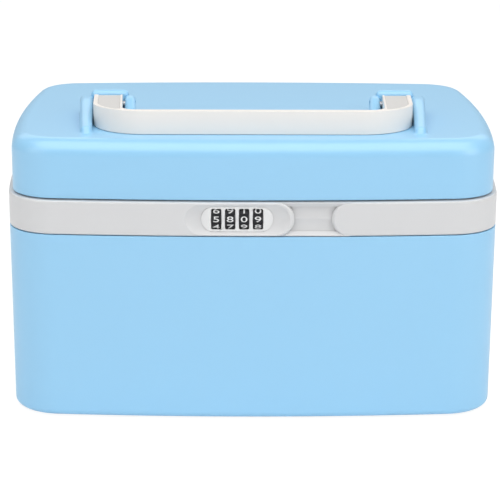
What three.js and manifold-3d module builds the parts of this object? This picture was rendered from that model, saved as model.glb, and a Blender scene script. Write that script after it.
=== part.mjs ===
// Medication lock box: a moulded tub and hinged lid joined by a rim band that carries a
// four-dial combination lock and a push button, with a folding carrying handle and a lift-out tray.
// Units are millimetres. +X is to the right, the front faces -Y, +Z is up.
// The origin is on the ground under the middle of the box.
import * as THREE from "three";
import { mergeVertices } from "three/addons/utils/BufferGeometryUtils.js";
import Module from "manifold-3d";

const wasm = await Module();
wasm.setup();

// Overall shape of the box
const boxWidth = 260;
const boxDepth = 180;
const cornerRadius = 26.6;
const frontBow = 3.9;
const sideBow = 3.2;
const footProud = 1.2;
const tubHeight = 97.9;
const bandHeight = 17.55;
const lidHeight = 30.05;
const fixedSeam = 0.35;
const lidSeam = 0.8;

// Steps of the plan's arcs; the side takes an even number, so that a point lies on the widest place
const frontSteps = 6;
const cornerSteps = 6;
const sideSteps = 4;

// Clearances
const gap = 0.3;
const slideGap = 0.5;

// Tub
const tubWall = 2.4;
const tubFloor = 2.8;
const tubDraft = 0.3;
const tubBottomFillet = 3.2;
const footRadius = 9;
const footSocketDepth = 0.8;
const footSpacingX = 196;
const footSpacingY = 118;

// Rim band
const rimWall = 2.4;
const rimFlange = 1.3;
const tongueWall = 1.6;
const tongueDepth = 4;
const lipInset = 4.8;
const lipWall = 1.6;
const lipHeight = 2.8;
const ledgeInset = 10;
const ledgeWall = 1.8;

// Lid
const lidInset = 2.1;
const lidWall = 2.3;
const lidTopFillet = 8.6;
const lidEdgeRound = 0.5;

// Hinge at the back
const hingeSpacing = 124;
const hingeBarrelRadius = 3.1;
const hingePinRadius = 1.25;
const hingeKnuckleWidth = 12;
const hingeLugWidth = 6;
const hingeBackSet = 3.4;
const hingeNotchDepth = 16;

// Combination lock
const lockCentreX = -8.4;
const dialPitch = 7.05;
const dialWidth = 4.6;
const dialCount = 4;
const dialClearance = 0.375;
const dialSink = 0.5;
const digitsPerDial = 10;
const windowHeight = 10.9;
const windowMargin = 1.1;
const windowSideMargin = 5.1;
const bezelSink = 1.0;
const dishLength = 53;
const dishHeight = 14.8;
const dishDepth = 4;
const lockPadMargin = 5.5;
const lockPadRound = 4;
const axleRadius = 1.6;
const hubRadius = 3.3;
const codeDiscRadius = 4.2;
const codeDiscThickness = 1.2;

// Push button, latch slider and catch
const buttonGapLeft = 20.4;
const buttonGapRight = 39.9;
const buttonOverlap = 4.4;
const buttonThickness = 2.5;
const buttonFlute = 0.7;
const buttonTravel = 3;
const catchWidth = 10;
const catchThickness = 2;
const catchReach = 12;
const catchPadHeight = 10;
const sliderThickness = 2.2;
const sliderDrop = 4.6;
const sliderRise = 6.4;
const sliderToothWidth = 5;
const sliderToothHeight = 2.6;
const combClearance = 0.1;
const stemWidth = 2.2;
const springRadius = 2.1;
const springWire = 0.3;
const springTurns = 7;
const springCupDepth = 4;
const springCupWall = 0.7;
const springCupRoom = 0.5;
const springSideRoom = 4;

// Cover at the back of the lock
const coverWall = 1.6;
const coverEarWidth = 12;
const coverEarHeight = 9;
const coverEarThickness = 1.8;
const coverScrewInset = 5;
const coverSideRoom = 9.4;
const coverLeftRoom = 6.6;
const leverWidth = 6;
const leverTravel = 3;

// Carrying handle and its brackets
const handleWidth = 167.2;
const handleReach = 70;
const handlePivotY = -17.5;
const handlePivotHeight = 5.8;
const handleBarHeight = 12.2;
const handleBarThickness = 4.6;
const handleArmWidth = 15.1;
const handleEndRadius = 5;
const handleCornerRadius = 28;
const handleInnerRadius = 8;
const handleLift = 0.5;
const handleEdgeRound = 1.2;
const panelOuterRim = 2.6;
const panelInnerRim = 1;
const panelTipRim = 2.4;
const panelDepth = 0.8;
const handlePinRadius = 1.6;
const armSplay = 3;
const outerLugWidth = 6.4;
const outerLugLength = 58;
const innerLugWidth = 5.8;
const innerLugGap = 1.1;
const innerLugLength = 21;
const lugHeight = 10;
const bracketWall = 6;
const bracketWallInset = 1;
const innerLugSlope = 3;
const lugEndRound = 3;

// Lift-out tray
const trayRimThickness = 1.8;
const trayDepth = 34;
const trayWall = 1.6;
const trayColumns = 3;
const trayPocketRadius = 6;
const trayFingerRadius = 12;
const trayFingerBack = 8;
const trayFingerOut = 4;
const trayFrontStep = 1.5;

// Heights that follow from the sizes above
const tubBottom = footProud;
const tubTop = tubBottom + tubHeight;
const bandBottom = tubTop + fixedSeam;
const bandTop = bandBottom + bandHeight;
const bandMid = (bandBottom + bandTop) / 2;
const lidBottom = bandTop + lidSeam;
const lidTop = lidBottom + lidHeight;
const front = -boxDepth / 2;
const rear = boxDepth / 2;

// Places in the lock that follow from the sizes above
const dialRadius = bandHeight / 2 - rimFlange - dialClearance;
const dialAxisY = front + dialSink + dialRadius;
const dialBore = hubRadius + gap + 0.05;
const dialXs = Array.from(
  { length: dialCount },
  (_, i) => lockCentreX + (i - (dialCount - 1) / 2) * dialPitch,
);
const windowWidth = dialWidth + 2 * gap;
const bezelHalfLength = ((dialCount - 1) * dialPitch + windowWidth) / 2 + windowSideMargin;
const bezelHalfHeight = windowHeight / 2 + windowMargin;
const bezelBack = front + rimWall + 1.7;
const padBack = bezelBack - gap;
const buttonCentreX = (buttonGapLeft + buttonGapRight) / 2;
const buttonFront = front + rimWall + gap;
const buttonBack = buttonFront + buttonThickness;
const catchFront = buttonBack + buttonTravel + slideGap;
const catchBack = catchFront + catchThickness;
const sliderFront = dialAxisY + dialRadius + dialClearance;
const sliderBack = sliderFront + sliderThickness;
const leverPlate = 1;
const coverInner = sliderBack + buttonTravel + leverPlate + 2 * gap;
const coverOuter = coverInner + coverWall;
const coverBottom = bandBottom;
const coverFloor = coverBottom + rimFlange;
const coverLeft = lockCentreX - bezelHalfLength - coverLeftRoom;
const coverRight = buttonGapRight + coverSideRoom;
const trayFront = coverOuter + 2.6;

// Hinge axis
const hingeY = rear - hingeBackSet;
const hingeZ = lidBottom + hingeBarrelRadius + slideGap;

// Solids

// Turns a closed three.js geometry into a solid that can be joined and cut.
function solidOf(geometry) {
  const bare = geometry.index ? geometry.toNonIndexed() : geometry.clone();
  bare.deleteAttribute("normal");
  bare.deleteAttribute("uv");
  const merged = mergeVertices(bare, 1e-4);
  return new wasm.Manifold(
    new wasm.Mesh({
      numProp: 3,
      vertProperties: merged.attributes.position.array,
      triVerts: new Uint32Array(merged.index.array),
    }),
  );
}

// Turns a solid back into a three.js geometry.
function geometryOf(solid) {
  const mesh = solid.getMesh();
  const geometry = new THREE.BufferGeometry();
  geometry.setAttribute("position", new THREE.BufferAttribute(mesh.vertProperties, 3));
  geometry.setIndex(new THREE.BufferAttribute(mesh.triVerts, 1));
  return geometry;
}

// A block between two corners.
function block(x0, x1, y0, y1, z0, z1) {
  const geometry = new THREE.BoxGeometry(x1 - x0, y1 - y0, z1 - z0);
  geometry.translate((x0 + x1) / 2, (y0 + y1) / 2, (z0 + z1) / 2);
  return solidOf(geometry);
}

// A shape drawn in (y, z), extruded along X from x0 to x1, with rounded edges of the given size.
function alongX(shape, x0, x1, round = 0, curveSegments = 8) {
  const geometry = extruded(shape, x1 - x0, round, curveSegments);
  geometry.applyMatrix4(
    new THREE.Matrix4().makeBasis(
      new THREE.Vector3(0, 1, 0),
      new THREE.Vector3(0, 0, 1),
      new THREE.Vector3(1, 0, 0),
    ),
  );
  geometry.translate(x0, 0, 0);
  return solidOf(geometry);
}

// A shape drawn in (x, z), extruded towards the front from y1 to y0.
function alongY(shape, y0, y1, round = 0, curveSegments = 8) {
  const geometry = extruded(shape, y1 - y0, round, curveSegments);
  geometry.applyMatrix4(
    new THREE.Matrix4().makeBasis(
      new THREE.Vector3(1, 0, 0),
      new THREE.Vector3(0, 0, 1),
      new THREE.Vector3(0, -1, 0),
    ),
  );
  geometry.translate(0, y1, 0);
  return solidOf(geometry);
}

// A shape drawn in (x, y), extruded upwards from z0 to z1.
function alongZ(shape, z0, z1, round = 0, curveSegments = 8) {
  const geometry = extruded(shape, z1 - z0, round, curveSegments);
  geometry.translate(0, 0, z0);
  return solidOf(geometry);
}

// An extrusion of the given overall length, whose rounded edges stay inside the shape's outline.
function extruded(shape, length, round, curveSegments) {
  const geometry = new THREE.ExtrudeGeometry(shape, {
    depth: length - 2 * round,
    bevelEnabled: round > 0,
    bevelSize: round,
    bevelThickness: round,
    bevelOffset: -round,
    bevelSegments: 2,
    curveSegments,
  });
  geometry.translate(0, 0, round);
  return geometry;
}

// A cylinder whose axis runs along X, at the given y and z.
function rodX(x0, x1, y, z, radius, segments = 16) {
  const geometry = new THREE.CylinderGeometry(radius, radius, x1 - x0, segments);
  geometry.rotateZ(Math.PI / 2);
  geometry.translate((x0 + x1) / 2, y, z);
  return solidOf(geometry);
}

// A cylinder whose axis runs along Y.
function rodY(y0, y1, x, z, radius, segments = 14) {
  const geometry = new THREE.CylinderGeometry(radius, radius, y1 - y0, segments);
  geometry.translate(x, (y0 + y1) / 2, z);
  return solidOf(geometry);
}

// A cylinder whose axis runs along Z.
function rodZ(z0, z1, x, y, radius, segments = 24) {
  const geometry = new THREE.CylinderGeometry(radius, radius, z1 - z0, segments);
  geometry.rotateX(Math.PI / 2);
  geometry.translate(x, y, (z0 + z1) / 2);
  return solidOf(geometry);
}

// A ring turned from a closed section of [radius, distance along X] points.
function turnedAlongX(section, x, y, z, segments = 28) {
  const points = [...section, section[0]].map(([radius, along]) => new THREE.Vector2(radius, along));
  const geometry = new THREE.LatheGeometry(points, segments);
  geometry.rotateZ(-Math.PI / 2);
  geometry.translate(x, y, z);
  return solidOf(geometry);
}

// A rounded rectangle centred on (x, y).
function roundedRect(x, y, width, height, radius) {
  const shape = new THREE.Shape();
  const left = x - width / 2;
  const right = x + width / 2;
  const low = y - height / 2;
  const high = y + height / 2;
  shape.absarc(right - radius, low + radius, radius, -Math.PI / 2, 0);
  shape.absarc(right - radius, high - radius, radius, 0, Math.PI / 2);
  shape.absarc(left + radius, high - radius, radius, Math.PI / 2, Math.PI);
  shape.absarc(left + radius, low + radius, radius, Math.PI, 1.5 * Math.PI);
  shape.closePath();
  return shape;
}

// The plan of the box: a rectangle with bowed sides and round corners

// The radius and half angle of an arc with the given half chord and rise.
function bowArc(halfChord, rise) {
  const radius = (halfChord ** 2 + rise ** 2) / (2 * rise);
  return { radius, angle: Math.asin(halfChord / radius) };
}

const coreX = boxWidth / 2 - cornerRadius - sideBow;
const coreY = boxDepth / 2 - cornerRadius - frontBow;
const frontArc = bowArc(coreX, frontBow);
const sideArc = bowArc(coreY, sideBow);

// The points of the plan outline, drawn in from the widest outline by the given inset.
function outline(inset) {
  const round = cornerRadius - inset;
  const sideCentre = coreX + sideBow - sideArc.radius;
  const frontCentre = coreY + frontBow - frontArc.radius;
  const right = sideArc.angle;
  const back = Math.PI / 2 - frontArc.angle;
  const sideSpan = 2 * sideArc.angle;
  const frontSpan = 2 * frontArc.angle;
  const half = [
    [sideCentre, 0, sideArc.radius + round, -right, sideSpan, sideSteps],
    [coreX, coreY, round, right, back - right, cornerSteps],
    [0, frontCentre, frontArc.radius + round, back, frontSpan, frontSteps],
    [-coreX, coreY, round, back + frontSpan, back - right, cornerSteps],
  ];
  const otherHalf = half.map(([x, y, radius, from, ...rest]) => [-x, -y, radius, from + Math.PI, ...rest]);
  return [...half, ...otherHalf].flatMap(([x, y, radius, from, span, steps]) =>
    new THREE.EllipseCurve(x, y, radius, radius, from, from + span).getPoints(steps).slice(0, -1),
  );
}

// How far the front face stands back from its furthest point at a given x.
function frontFallAway(x) {
  const radius = frontArc.radius + cornerRadius;
  return radius - Math.sqrt(radius ** 2 - x ** 2);
}

// A solid lofted through rings of the plan outline. Each ring is [inset, height].
// A closed loft joins its last ring to its first, and an open one is capped at both ends.
function loft(rings, closed = false) {
  const loops = rings.map(([inset, height]) => outline(inset).map((p) => [p.x, p.y, height]));
  const count = loops[0].length;
  const positions = loops.flat(2);
  const index = [];
  const bands = closed ? loops.length : loops.length - 1;
  for (let band = 0; band < bands; band += 1) {
    const here = band * count;
    const next = ((band + 1) % loops.length) * count;
    for (let i = 0; i < count; i += 1) {
      const j = (i + 1) % count;
      index.push(here + i, here + j, next + j);
      index.push(here + i, next + j, next + i);
    }
  }
  if (!closed) {
    const last = (loops.length - 1) * count;
    const flat = (loop) => loop.map(([x, y]) => new THREE.Vector2(x, y));
    for (const [a, b, c] of THREE.ShapeUtils.triangulateShape(flat(loops[0]), [])) {
      index.push(c, b, a);
    }
    for (const [a, b, c] of THREE.ShapeUtils.triangulateShape(flat(loops.at(-1)), [])) {
      index.push(last + a, last + b, last + c);
    }
  }
  const geometry = new THREE.BufferGeometry();
  geometry.setAttribute("position", new THREE.Float32BufferAttribute(positions, 3));
  geometry.setIndex(index);
  return solidOf(geometry);
}

// Rings of a quarter-round edge between a wall and a level face, from the first angle to the last.
function filletRings(wallInset, faceHeight, radius, side, from, to, steps = 4) {
  return Array.from({ length: steps + 1 }, (_, i) => {
    const angle = ((from + ((to - from) * i) / steps) * Math.PI) / 180;
    return [wallInset + radius * (1 - Math.cos(angle)), faceHeight + side * radius * (1 - Math.sin(angle))];
  });
}

// Tub, feet and the rim band

function makeTub() {
  const inner = tubWall;
  const floor = tubBottom + tubFloor;
  const shell = loft([
    ...filletRings(tubDraft, tubBottom, tubBottomFillet, 1, 90, 0),
    [0, tubTop],
    [inner, tubTop],
    ...filletRings(inner + tubDraft, floor, tubBottomFillet, 1, 0, 90),
  ]);
  const sockets = footPlaces().map(([x, y]) =>
    rodZ(tubBottom - 1, tubBottom + footSocketDepth, x, y, footRadius + gap + 0.1, 24),
  );
  return shell.subtract(wasm.Manifold.union(sockets));
}

function footPlaces() {
  return [-1, 1].flatMap((sx) => [-1, 1].map((sy) => [(sx * footSpacingX) / 2, (sy * footSpacingY) / 2]));
}

// A foot pad is a turned disc with a rounded lower edge.
function makeFoot([x, y]) {
  const top = tubBottom + footSocketDepth - gap;
  const profile = new THREE.Path();
  profile.moveTo(0, 0);
  profile.lineTo(footRadius - 0.8, 0);
  profile.absarc(footRadius - 0.8, 0.8, 0.8, -Math.PI / 2, 0);
  profile.lineTo(footRadius, top);
  profile.lineTo(0, top);
  const geometry = new THREE.LatheGeometry(profile.getPoints(2), 16);
  geometry.rotateX(Math.PI / 2);
  geometry.translate(x, y, 0);
  return solidOf(geometry);
}

// The slot between the two wings of the band: its ends are the wings' round noses.
function buttonGapShape(overhang = 0) {
  const nose = bandHeight / 2;
  const shape = new THREE.Shape();
  shape.moveTo(buttonGapLeft - nose, bandBottom - overhang);
  shape.lineTo(buttonGapRight + nose, bandBottom - overhang);
  shape.lineTo(buttonGapRight + nose, bandBottom);
  shape.absarc(buttonGapRight + nose, bandMid, nose, -Math.PI / 2, -1.5 * Math.PI, true);
  shape.lineTo(buttonGapRight + nose, bandTop + overhang);
  shape.lineTo(buttonGapLeft - nose, bandTop + overhang);
  shape.lineTo(buttonGapLeft - nose, bandTop);
  shape.absarc(buttonGapLeft - nose, bandMid, nose, Math.PI / 2, -Math.PI / 2, true);
  shape.closePath();
  return shape;
}

// The shallow oval dish round the lock, cut by a flattened ball.
function dishCutter() {
  const ballDepth = 10;
  const share = Math.sqrt(1 - ((ballDepth - dishDepth) / ballDepth) ** 2);
  const geometry = new THREE.SphereGeometry(1, 28, 18);
  geometry.scale(dishLength / 2 / share, ballDepth, dishHeight / 2 / share);
  geometry.translate(lockCentreX, front + dishDepth - ballDepth, bandMid);
  return solidOf(geometry);
}

// The pill outline of the lock's face plate, drawn in by the given amount.
function bezelShape(inset) {
  return roundedRect(
    lockCentreX,
    bandMid,
    2 * (bezelHalfLength - inset),
    2 * (bezelHalfHeight - inset),
    bezelHalfHeight - inset - 0.1,
  );
}

// One leaf of the hinge that stands up from the rim, with its barrel on the hinge axis.
function hingeLugShape(radius, drop) {
  const shape = new THREE.Shape();
  shape.moveTo(hingeY - radius, drop);
  shape.lineTo(hingeY + radius * 0.7, drop);
  shape.lineTo(hingeY + radius * 0.7, hingeZ - radius * 0.714);
  shape.absarc(hingeY, hingeZ, radius, -0.795, Math.PI);
  shape.closePath();
  return shape;
}

function hingePlaces() {
  return [-hingeSpacing / 2, hingeSpacing / 2];
}

function makeRim() {
  const lipTop = bandTop + lipHeight;
  const underFlange = bandTop - rimFlange;
  const tongueFoot = bandBottom - tongueDepth;
  const tongueTop = bandBottom + 2;
  const tongueInset = tubWall + gap;
  const tongueInner = tongueInset + tongueWall;
  const ring = loft(
    [
      [0, bandBottom],
      [0, bandTop - 0.4],
      [0.4, bandTop],
      [lipInset, bandTop],
      [lipInset, lipTop],
      [lipInset + lipWall, lipTop],
      [lipInset + lipWall, bandTop],
      [ledgeInset, bandTop],
      [ledgeInset, tongueFoot],
      [ledgeInset - ledgeWall, tongueFoot],
      [ledgeInset - ledgeWall, underFlange],
      [rimWall, underFlange],
      [rimWall, tongueTop],
      [tongueInner, tongueTop],
      [tongueInner, tongueFoot],
      [tongueInset, tongueFoot],
      [tongueInset, bandBottom],
    ],
    true,
  );
  const padHeight = bandHeight - 2 * rimFlange;
  const padLength = 2 * (bezelHalfLength + lockPadMargin);
  const lockPad = alongY(
    roundedRect(lockCentreX, bandMid, padLength, padHeight, lockPadRound),
    front + rimWall - 1,
    padBack,
  );
  const buttonFrame = block(
    buttonGapLeft - bandHeight / 2,
    buttonGapRight + bandHeight / 2,
    front + rimWall - 1,
    padBack,
    bandMid - padHeight / 2,
    bandMid + padHeight / 2,
  );
  const lugs = hingePlaces().flatMap((x) =>
    [-1, 1].map((side) => {
      const near = x + side * (hingeKnuckleWidth / 2 + gap);
      const far = near + side * hingeLugWidth;
      return alongX(
        hingeLugShape(hingeBarrelRadius, bandTop - 1),
        Math.min(near, far),
        Math.max(near, far),
        0,
        5,
      );
    }),
  );
  const reach = hingeKnuckleWidth / 2 + hingeLugWidth + 2 * gap;
  const bore = hingePinRadius + gap;
  const pinHoles = hingePlaces().map((x) => rodX(x - reach, x + reach, hingeY, hingeZ, bore));
  const backOfLip = block(-boxWidth, boxWidth, rear - cornerRadius, rear, bandTop, lipTop + 1);
  const wellBack = front + ledgeInset + 3;
  const lockWell = block(
    coverLeft - gap,
    coverRight + gap,
    front + tongueInner + 0.05,
    wellBack,
    tongueFoot - 1,
    underFlange,
  );
  const windowHole = alongY(bezelShape(-gap), front - 1, padBack + 1, 0, 5);
  const buttonSlot = alongY(buttonGapShape(1), front - 1, front + rimWall + 0.2, 0, 6);
  const buttonHole = block(
    buttonGapLeft - buttonOverlap - gap,
    buttonGapRight + buttonOverlap + gap,
    front + rimWall,
    wellBack,
    tongueTop,
    underFlange,
  );
  const catchSlot = block(
    buttonCentreX - catchWidth / 2 - 1,
    buttonCentreX + catchWidth / 2 + 1,
    catchFront - 1.3,
    wellBack,
    underFlange - 1,
    lipTop + 1,
  );
  const screwHoles = coverScrewXs().map((x) => rodY(front + ledgeInset - 4, wellBack, x, bandMid, 1.6));
  return ring
    .add(wasm.Manifold.union([lockPad, buttonFrame, ...lugs]))
    .subtract(wasm.Manifold.union([...pinHoles, ...screwHoles]))
    .subtract(wasm.Manifold.union([backOfLip.subtract(wasm.Manifold.union(lugs)), lockWell, catchSlot]))
    .subtract(wasm.Manifold.union([buttonSlot, buttonHole, windowHole, dishCutter()]));
}

// Combination lock

// The face plate: a pill-shaped block with a window and a round relief for each dial.
function makeBezel() {
  const plate = alongY(bezelShape(0), front + bezelSink, bezelBack, 0.5, 5);
  const windows = dialXs.map((x) =>
    block(
      x - windowWidth / 2,
      x + windowWidth / 2,
      front,
      dialAxisY,
      bandMid - windowHeight / 2,
      bandMid + windowHeight / 2,
    ),
  );
  const reliefs = dialXs.map((x) =>
    rodX(x - windowWidth / 2, x + windowWidth / 2, dialAxisY, bandMid, dialRadius + gap + 0.03, 32),
  );
  const discRelief = rodX(
    dialXs[0] - windowWidth / 2,
    dialXs.at(-1) + dialPitch - windowWidth / 2,
    dialAxisY,
    bandMid,
    codeDiscRadius + 1.3,
    24,
  );
  return plate.subtract(wasm.Manifold.union([...windows, ...reliefs, discRelief]));
}

// A number dial: ten raised lands for the digits with finger grooves between them.
function makeDial(x) {
  const groove = 0.55;
  const step = (2 * Math.PI) / digitsPerDial;
  const shape = new THREE.Shape();
  for (let i = 0; i < digitsPerDial; i += 1) {
    for (const [share, radius] of [
      [-0.34, dialRadius],
      [0, dialRadius],
      [0.34, dialRadius],
      [0.5, dialRadius - groove],
    ]) {
      const angle = (i + share) * step;
      const point = [dialAxisY - radius * Math.cos(angle), bandMid - radius * Math.sin(angle)];
      if (i === 0 && share < 0) shape.moveTo(...point);
      else shape.lineTo(...point);
    }
  }
  shape.closePath();
  shape.holes.push(new THREE.Path().absarc(dialAxisY, bandMid, dialBore, 0, 2 * Math.PI, true));
  return alongX(shape, x - dialWidth / 2, x + dialWidth / 2, 0, 9);
}

// The code ring inside a dial: a hub on the axle and a notched disc beside the dial.
function makeCodeRing(x) {
  const bore = axleRadius + gap + 0.03;
  const left = -dialWidth / 2;
  const disc = dialWidth / 2 + gap;
  const ring = turnedAlongX(
    [
      [bore, left],
      [hubRadius, left],
      [hubRadius, disc],
      [codeDiscRadius, disc],
      [codeDiscRadius, disc + codeDiscThickness],
      [bore, disc + codeDiscThickness],
    ],
    x,
    dialAxisY,
    bandMid,
    16,
  );
  const notch = block(
    x + disc - 0.1,
    x + disc + codeDiscThickness + 1,
    dialAxisY - 0.8,
    dialAxisY + 0.8,
    bandMid + hubRadius,
    bandMid + codeDiscRadius + 1,
  );
  return ring.subtract(notch);
}

const cradleLeft = dialXs[0] - dialWidth / 2 - 1 - coverWall;
const cradleRight = dialXs.at(-1) + dialWidth / 2 + gap + codeDiscThickness + 1;

function makeAxle() {
  return rodX(cradleLeft - gap, cradleRight + coverWall + gap, dialAxisY, bandMid, axleRadius);
}

// A spring leaf with one finger for each dial, which clicks into the dial's grooves.
function makeDetentSpring() {
  const sheet = 0.4;
  const reach = dialRadius + 0.6;
  const tip = [dialAxisY + reach * Math.cos(-0.75), bandMid + reach * Math.sin(-0.75)];
  const base = coverFloor + gap;
  const shape = new THREE.Shape();
  shape.moveTo(coverInner - 1, base);
  shape.lineTo(coverInner - 1, base + sheet);
  shape.lineTo(sliderFront + 0.4, base + sheet);
  shape.lineTo(tip[0] + 0.3, tip[1] + sheet);
  shape.lineTo(tip[0], tip[1]);
  shape.lineTo(sliderFront + 0.2, base);
  shape.closePath();
  const strip = block(
    dialXs[0] - dialWidth / 2,
    dialXs.at(-1) + dialWidth / 2,
    coverInner - 3,
    coverInner - 1,
    base,
    base + sheet,
  );
  const fingers = dialXs.map((x) => alongX(shape, x - 1.6, x + 1.6));
  return strip.add(wasm.Manifold.union(fingers));
}

function coverScrewXs() {
  return [coverLeft - coverScrewInset, coverRight + coverScrewInset];
}

// The box-shaped cover behind the lock, open to the front, with the cradle that holds the axle.
function makeLockCover() {
  const coverFront = front + rimWall + tongueWall + 3 * gap;
  const cover = block(coverLeft, coverRight, coverFront, coverOuter, coverBottom, bandTop);
  const topOpen = rimInnerFace(coverRight) + gap;
  const room = block(
    coverLeft + coverWall,
    coverRight - coverWall,
    front,
    coverInner,
    coverFloor,
    bandTop - coverWall,
  );
  const topLow = bandTop - rimFlange - gap;
  const topCut = block(coverLeft - 1, coverRight + 1, front, topOpen, topLow, bandTop + 1);
  const slot = leverSlot(0);
  const ears = coverScrewXs().map((x) => {
    const plan = roundedRect(x, bandMid, coverEarWidth, coverEarHeight, 3);
    return alongY(plan, earFront(x), earFront(x) + coverEarThickness);
  });
  const earHoles = coverScrewXs().map((x) => rodY(front, coverOuter, x, bandMid, 1.6));
  const walls = [cradleLeft, cradleRight].map((x) =>
    block(x, x + coverWall, padBack + 1, sliderFront - gap, coverFloor - 0.5, bandMid + 2.4),
  );
  const axleSlot = block(
    cradleLeft - 1,
    cradleRight + coverWall + 1,
    front,
    dialAxisY,
    bandMid - axleRadius - gap,
    bandMid + axleRadius + gap,
  );
  const axleSeat = rodX(
    cradleLeft - 1,
    cradleRight + coverWall + 1,
    dialAxisY,
    bandMid,
    axleRadius + gap,
  );
  const pegRadius = springRadius - 2 * springWire - gap - 0.1;
  const peg = rodY(coverInner - 1.5, coverInner + 0.5, springX(), bandMid, pegRadius, 12);
  return cover
    .subtract(room)
    .add(wasm.Manifold.union(walls).subtract(axleSlot).subtract(axleSeat))
    .add(peg)
    .subtract(topCut)
    .subtract(slot)
    .add(wasm.Manifold.union(ears))
    .subtract(wasm.Manifold.union(earHoles));
}

// How far back the rim's inner wall stands at a given x, with the flat steps of its bow.
function rimInnerFace(x) {
  const stepHalfAngle = frontArc.angle / frontSteps;
  const stepRise = frontArc.radius * (1 - Math.cos(stepHalfAngle));
  return front + ledgeInset + frontFallAway(x) + stepRise;
}

// The front of a cover ear, which stands off the rim's inner wall by the gap.
function earFront(x) {
  return rimInnerFace(Math.abs(x) + coverEarWidth / 2) + gap;
}

// A cover screw turned about Y: a domed head on a short shank.
function makeCoverScrew(x) {
  const start = front + ledgeInset - 3;
  const headFront = earFront(x) + coverEarThickness + gap;
  const profile = [
    [0, start],
    [1.2, start],
    [1.2, headFront],
    [2.8, headFront],
    [2.8, headFront + 0.6],
    [2.2, headFront + 1.4],
    [1.2, headFront + 1.8],
    [0, headFront + 1.9],
  ].map(([radius, along]) => new THREE.Vector2(radius, along));
  return solidOf(new THREE.LatheGeometry(profile, 12).translate(x, 0, bandMid));
}

// The hole in the cover for the code-change lever, and the same shape drawn in by an inset.
function leverSlot(inset) {
  return block(
    lockCentreX - leverWidth / 2 + inset,
    lockCentreX + leverWidth / 2 + leverTravel + 2 * gap - inset,
    coverInner - 0.5,
    coverOuter + 0.5,
    bandMid - 1.5 + inset,
    bandMid + 1.5 - inset,
  );
}

// The code-change lever: a knob outside, a neck through the slot and a plate inside.
function makeResetLever() {
  const left = lockCentreX - leverWidth / 2 + gap;
  const centre = left + leverWidth / 2;
  const neck = block(
    left,
    left + leverWidth,
    coverInner - gap - 0.2,
    coverOuter + gap + 0.2,
    bandMid - 1.2,
    bandMid + 1.2,
  );
  const knobView = roundedRect(centre, bandMid, leverWidth, 5, 1.2);
  const knob = alongY(knobView, coverOuter + gap, coverOuter + gap + 1.4, 0, 4);
  const plate = block(
    left - 1,
    left + leverWidth + 1,
    coverInner - gap - leverPlate,
    coverInner - gap,
    bandMid - 3,
    bandMid + 3,
  );
  return wasm.Manifold.union([neck, knob, plate]);
}

// Button, slider, spring and catch

const buttonLow = bandBottom + 2 + gap;
const buttonHigh = bandTop - rimFlange - gap;

// The button's side view: two shallow finger flutes, one above the other.
function makeButton() {
  const shape = new THREE.Shape();
  const middle = (buttonLow + buttonHigh) / 2;
  const fluteDeep = buttonFront + 2 * buttonFlute;
  shape.moveTo(buttonBack, buttonLow);
  shape.lineTo(buttonBack, buttonHigh);
  shape.lineTo(buttonFront, buttonHigh);
  shape.quadraticCurveTo(fluteDeep, (buttonHigh + middle) / 2, buttonFront + 0.1, middle);
  shape.quadraticCurveTo(fluteDeep, (buttonLow + middle) / 2, buttonFront, buttonLow);
  shape.closePath();
  const plate = alongX(shape, buttonGapLeft - buttonOverlap, buttonGapRight + buttonOverlap, 0, 8);
  const stems = stemLefts().map((x) =>
    block(x, x + stemWidth, buttonBack - 0.1, sliderFront - gap, bandMid - 4.6, bandMid - 0.6),
  );
  return plate.add(wasm.Manifold.union(stems));
}

function stemLefts() {
  const room = catchWidth / 2 + 1;
  return [buttonCentreX - room - stemWidth, buttonCentreX + room];
}

function springX() {
  return buttonGapRight + springSideRoom;
}

// The slider behind the dials: a beam with one finger between each pair of code discs,
// a latch tooth at the catch and a cup for the return spring.
function makeSlider() {
  const low = bandMid - sliderDrop;
  const high = bandMid + sliderRise;
  const cupRadius = springRadius + springCupRoom;
  const cupOuter = cupRadius + springCupWall;
  const beam = block(dialXs[0], springX() + cupOuter, sliderFront, sliderBack, low, high);
  const fingers = dialXs.map((x) => {
    const left = x + dialWidth / 2 + gap + combClearance;
    return block(
      left,
      left + codeDiscThickness - 2 * combClearance,
      bezelBack + gap + combClearance,
      sliderFront + 0.1,
      bandMid + codeDiscRadius + gap + combClearance,
      high,
    );
  });
  const tooth = block(
    buttonCentreX - sliderToothWidth / 2,
    buttonCentreX + sliderToothWidth / 2,
    catchBack + gap,
    sliderFront + 0.1,
    bandMid + 0.9 - sliderToothHeight / 2,
    bandMid + 0.9 + sliderToothHeight / 2,
  );
  const cupFloor = sliderFront - springCupDepth;
  const cup = rodY(cupFloor - 1, sliderBack, springX(), bandMid, cupOuter, 24);
  const cupHole = rodY(cupFloor, sliderBack + 1, springX(), bandMid, cupRadius, 24);
  return wasm.Manifold.union([beam, ...fingers, tooth, cup]).subtract(cupHole);
}

// The return spring: one round wire wound as a helix along Y.
function makeSpring() {
  const start = sliderFront - springCupDepth + gap + springWire;
  const length = coverInner - gap - springWire - start;
  class Helix extends THREE.Curve {
    getPoint(t, target = new THREE.Vector3()) {
      const angle = 2 * Math.PI * springTurns * t;
      const x = springX() + (springRadius - springWire) * Math.cos(angle);
      const z = bandMid + (springRadius - springWire) * Math.sin(angle);
      return target.set(x, start + length * t, z);
    }
  }
  const section = new THREE.Shape();
  section.absarc(0, 0, springWire, 0, 2 * Math.PI);
  const geometry = new THREE.ExtrudeGeometry(section, {
    steps: springTurns * 8,
    curveSegments: 3,
    extrudePath: new Helix(),
  });
  return solidOf(geometry);
}

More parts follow.
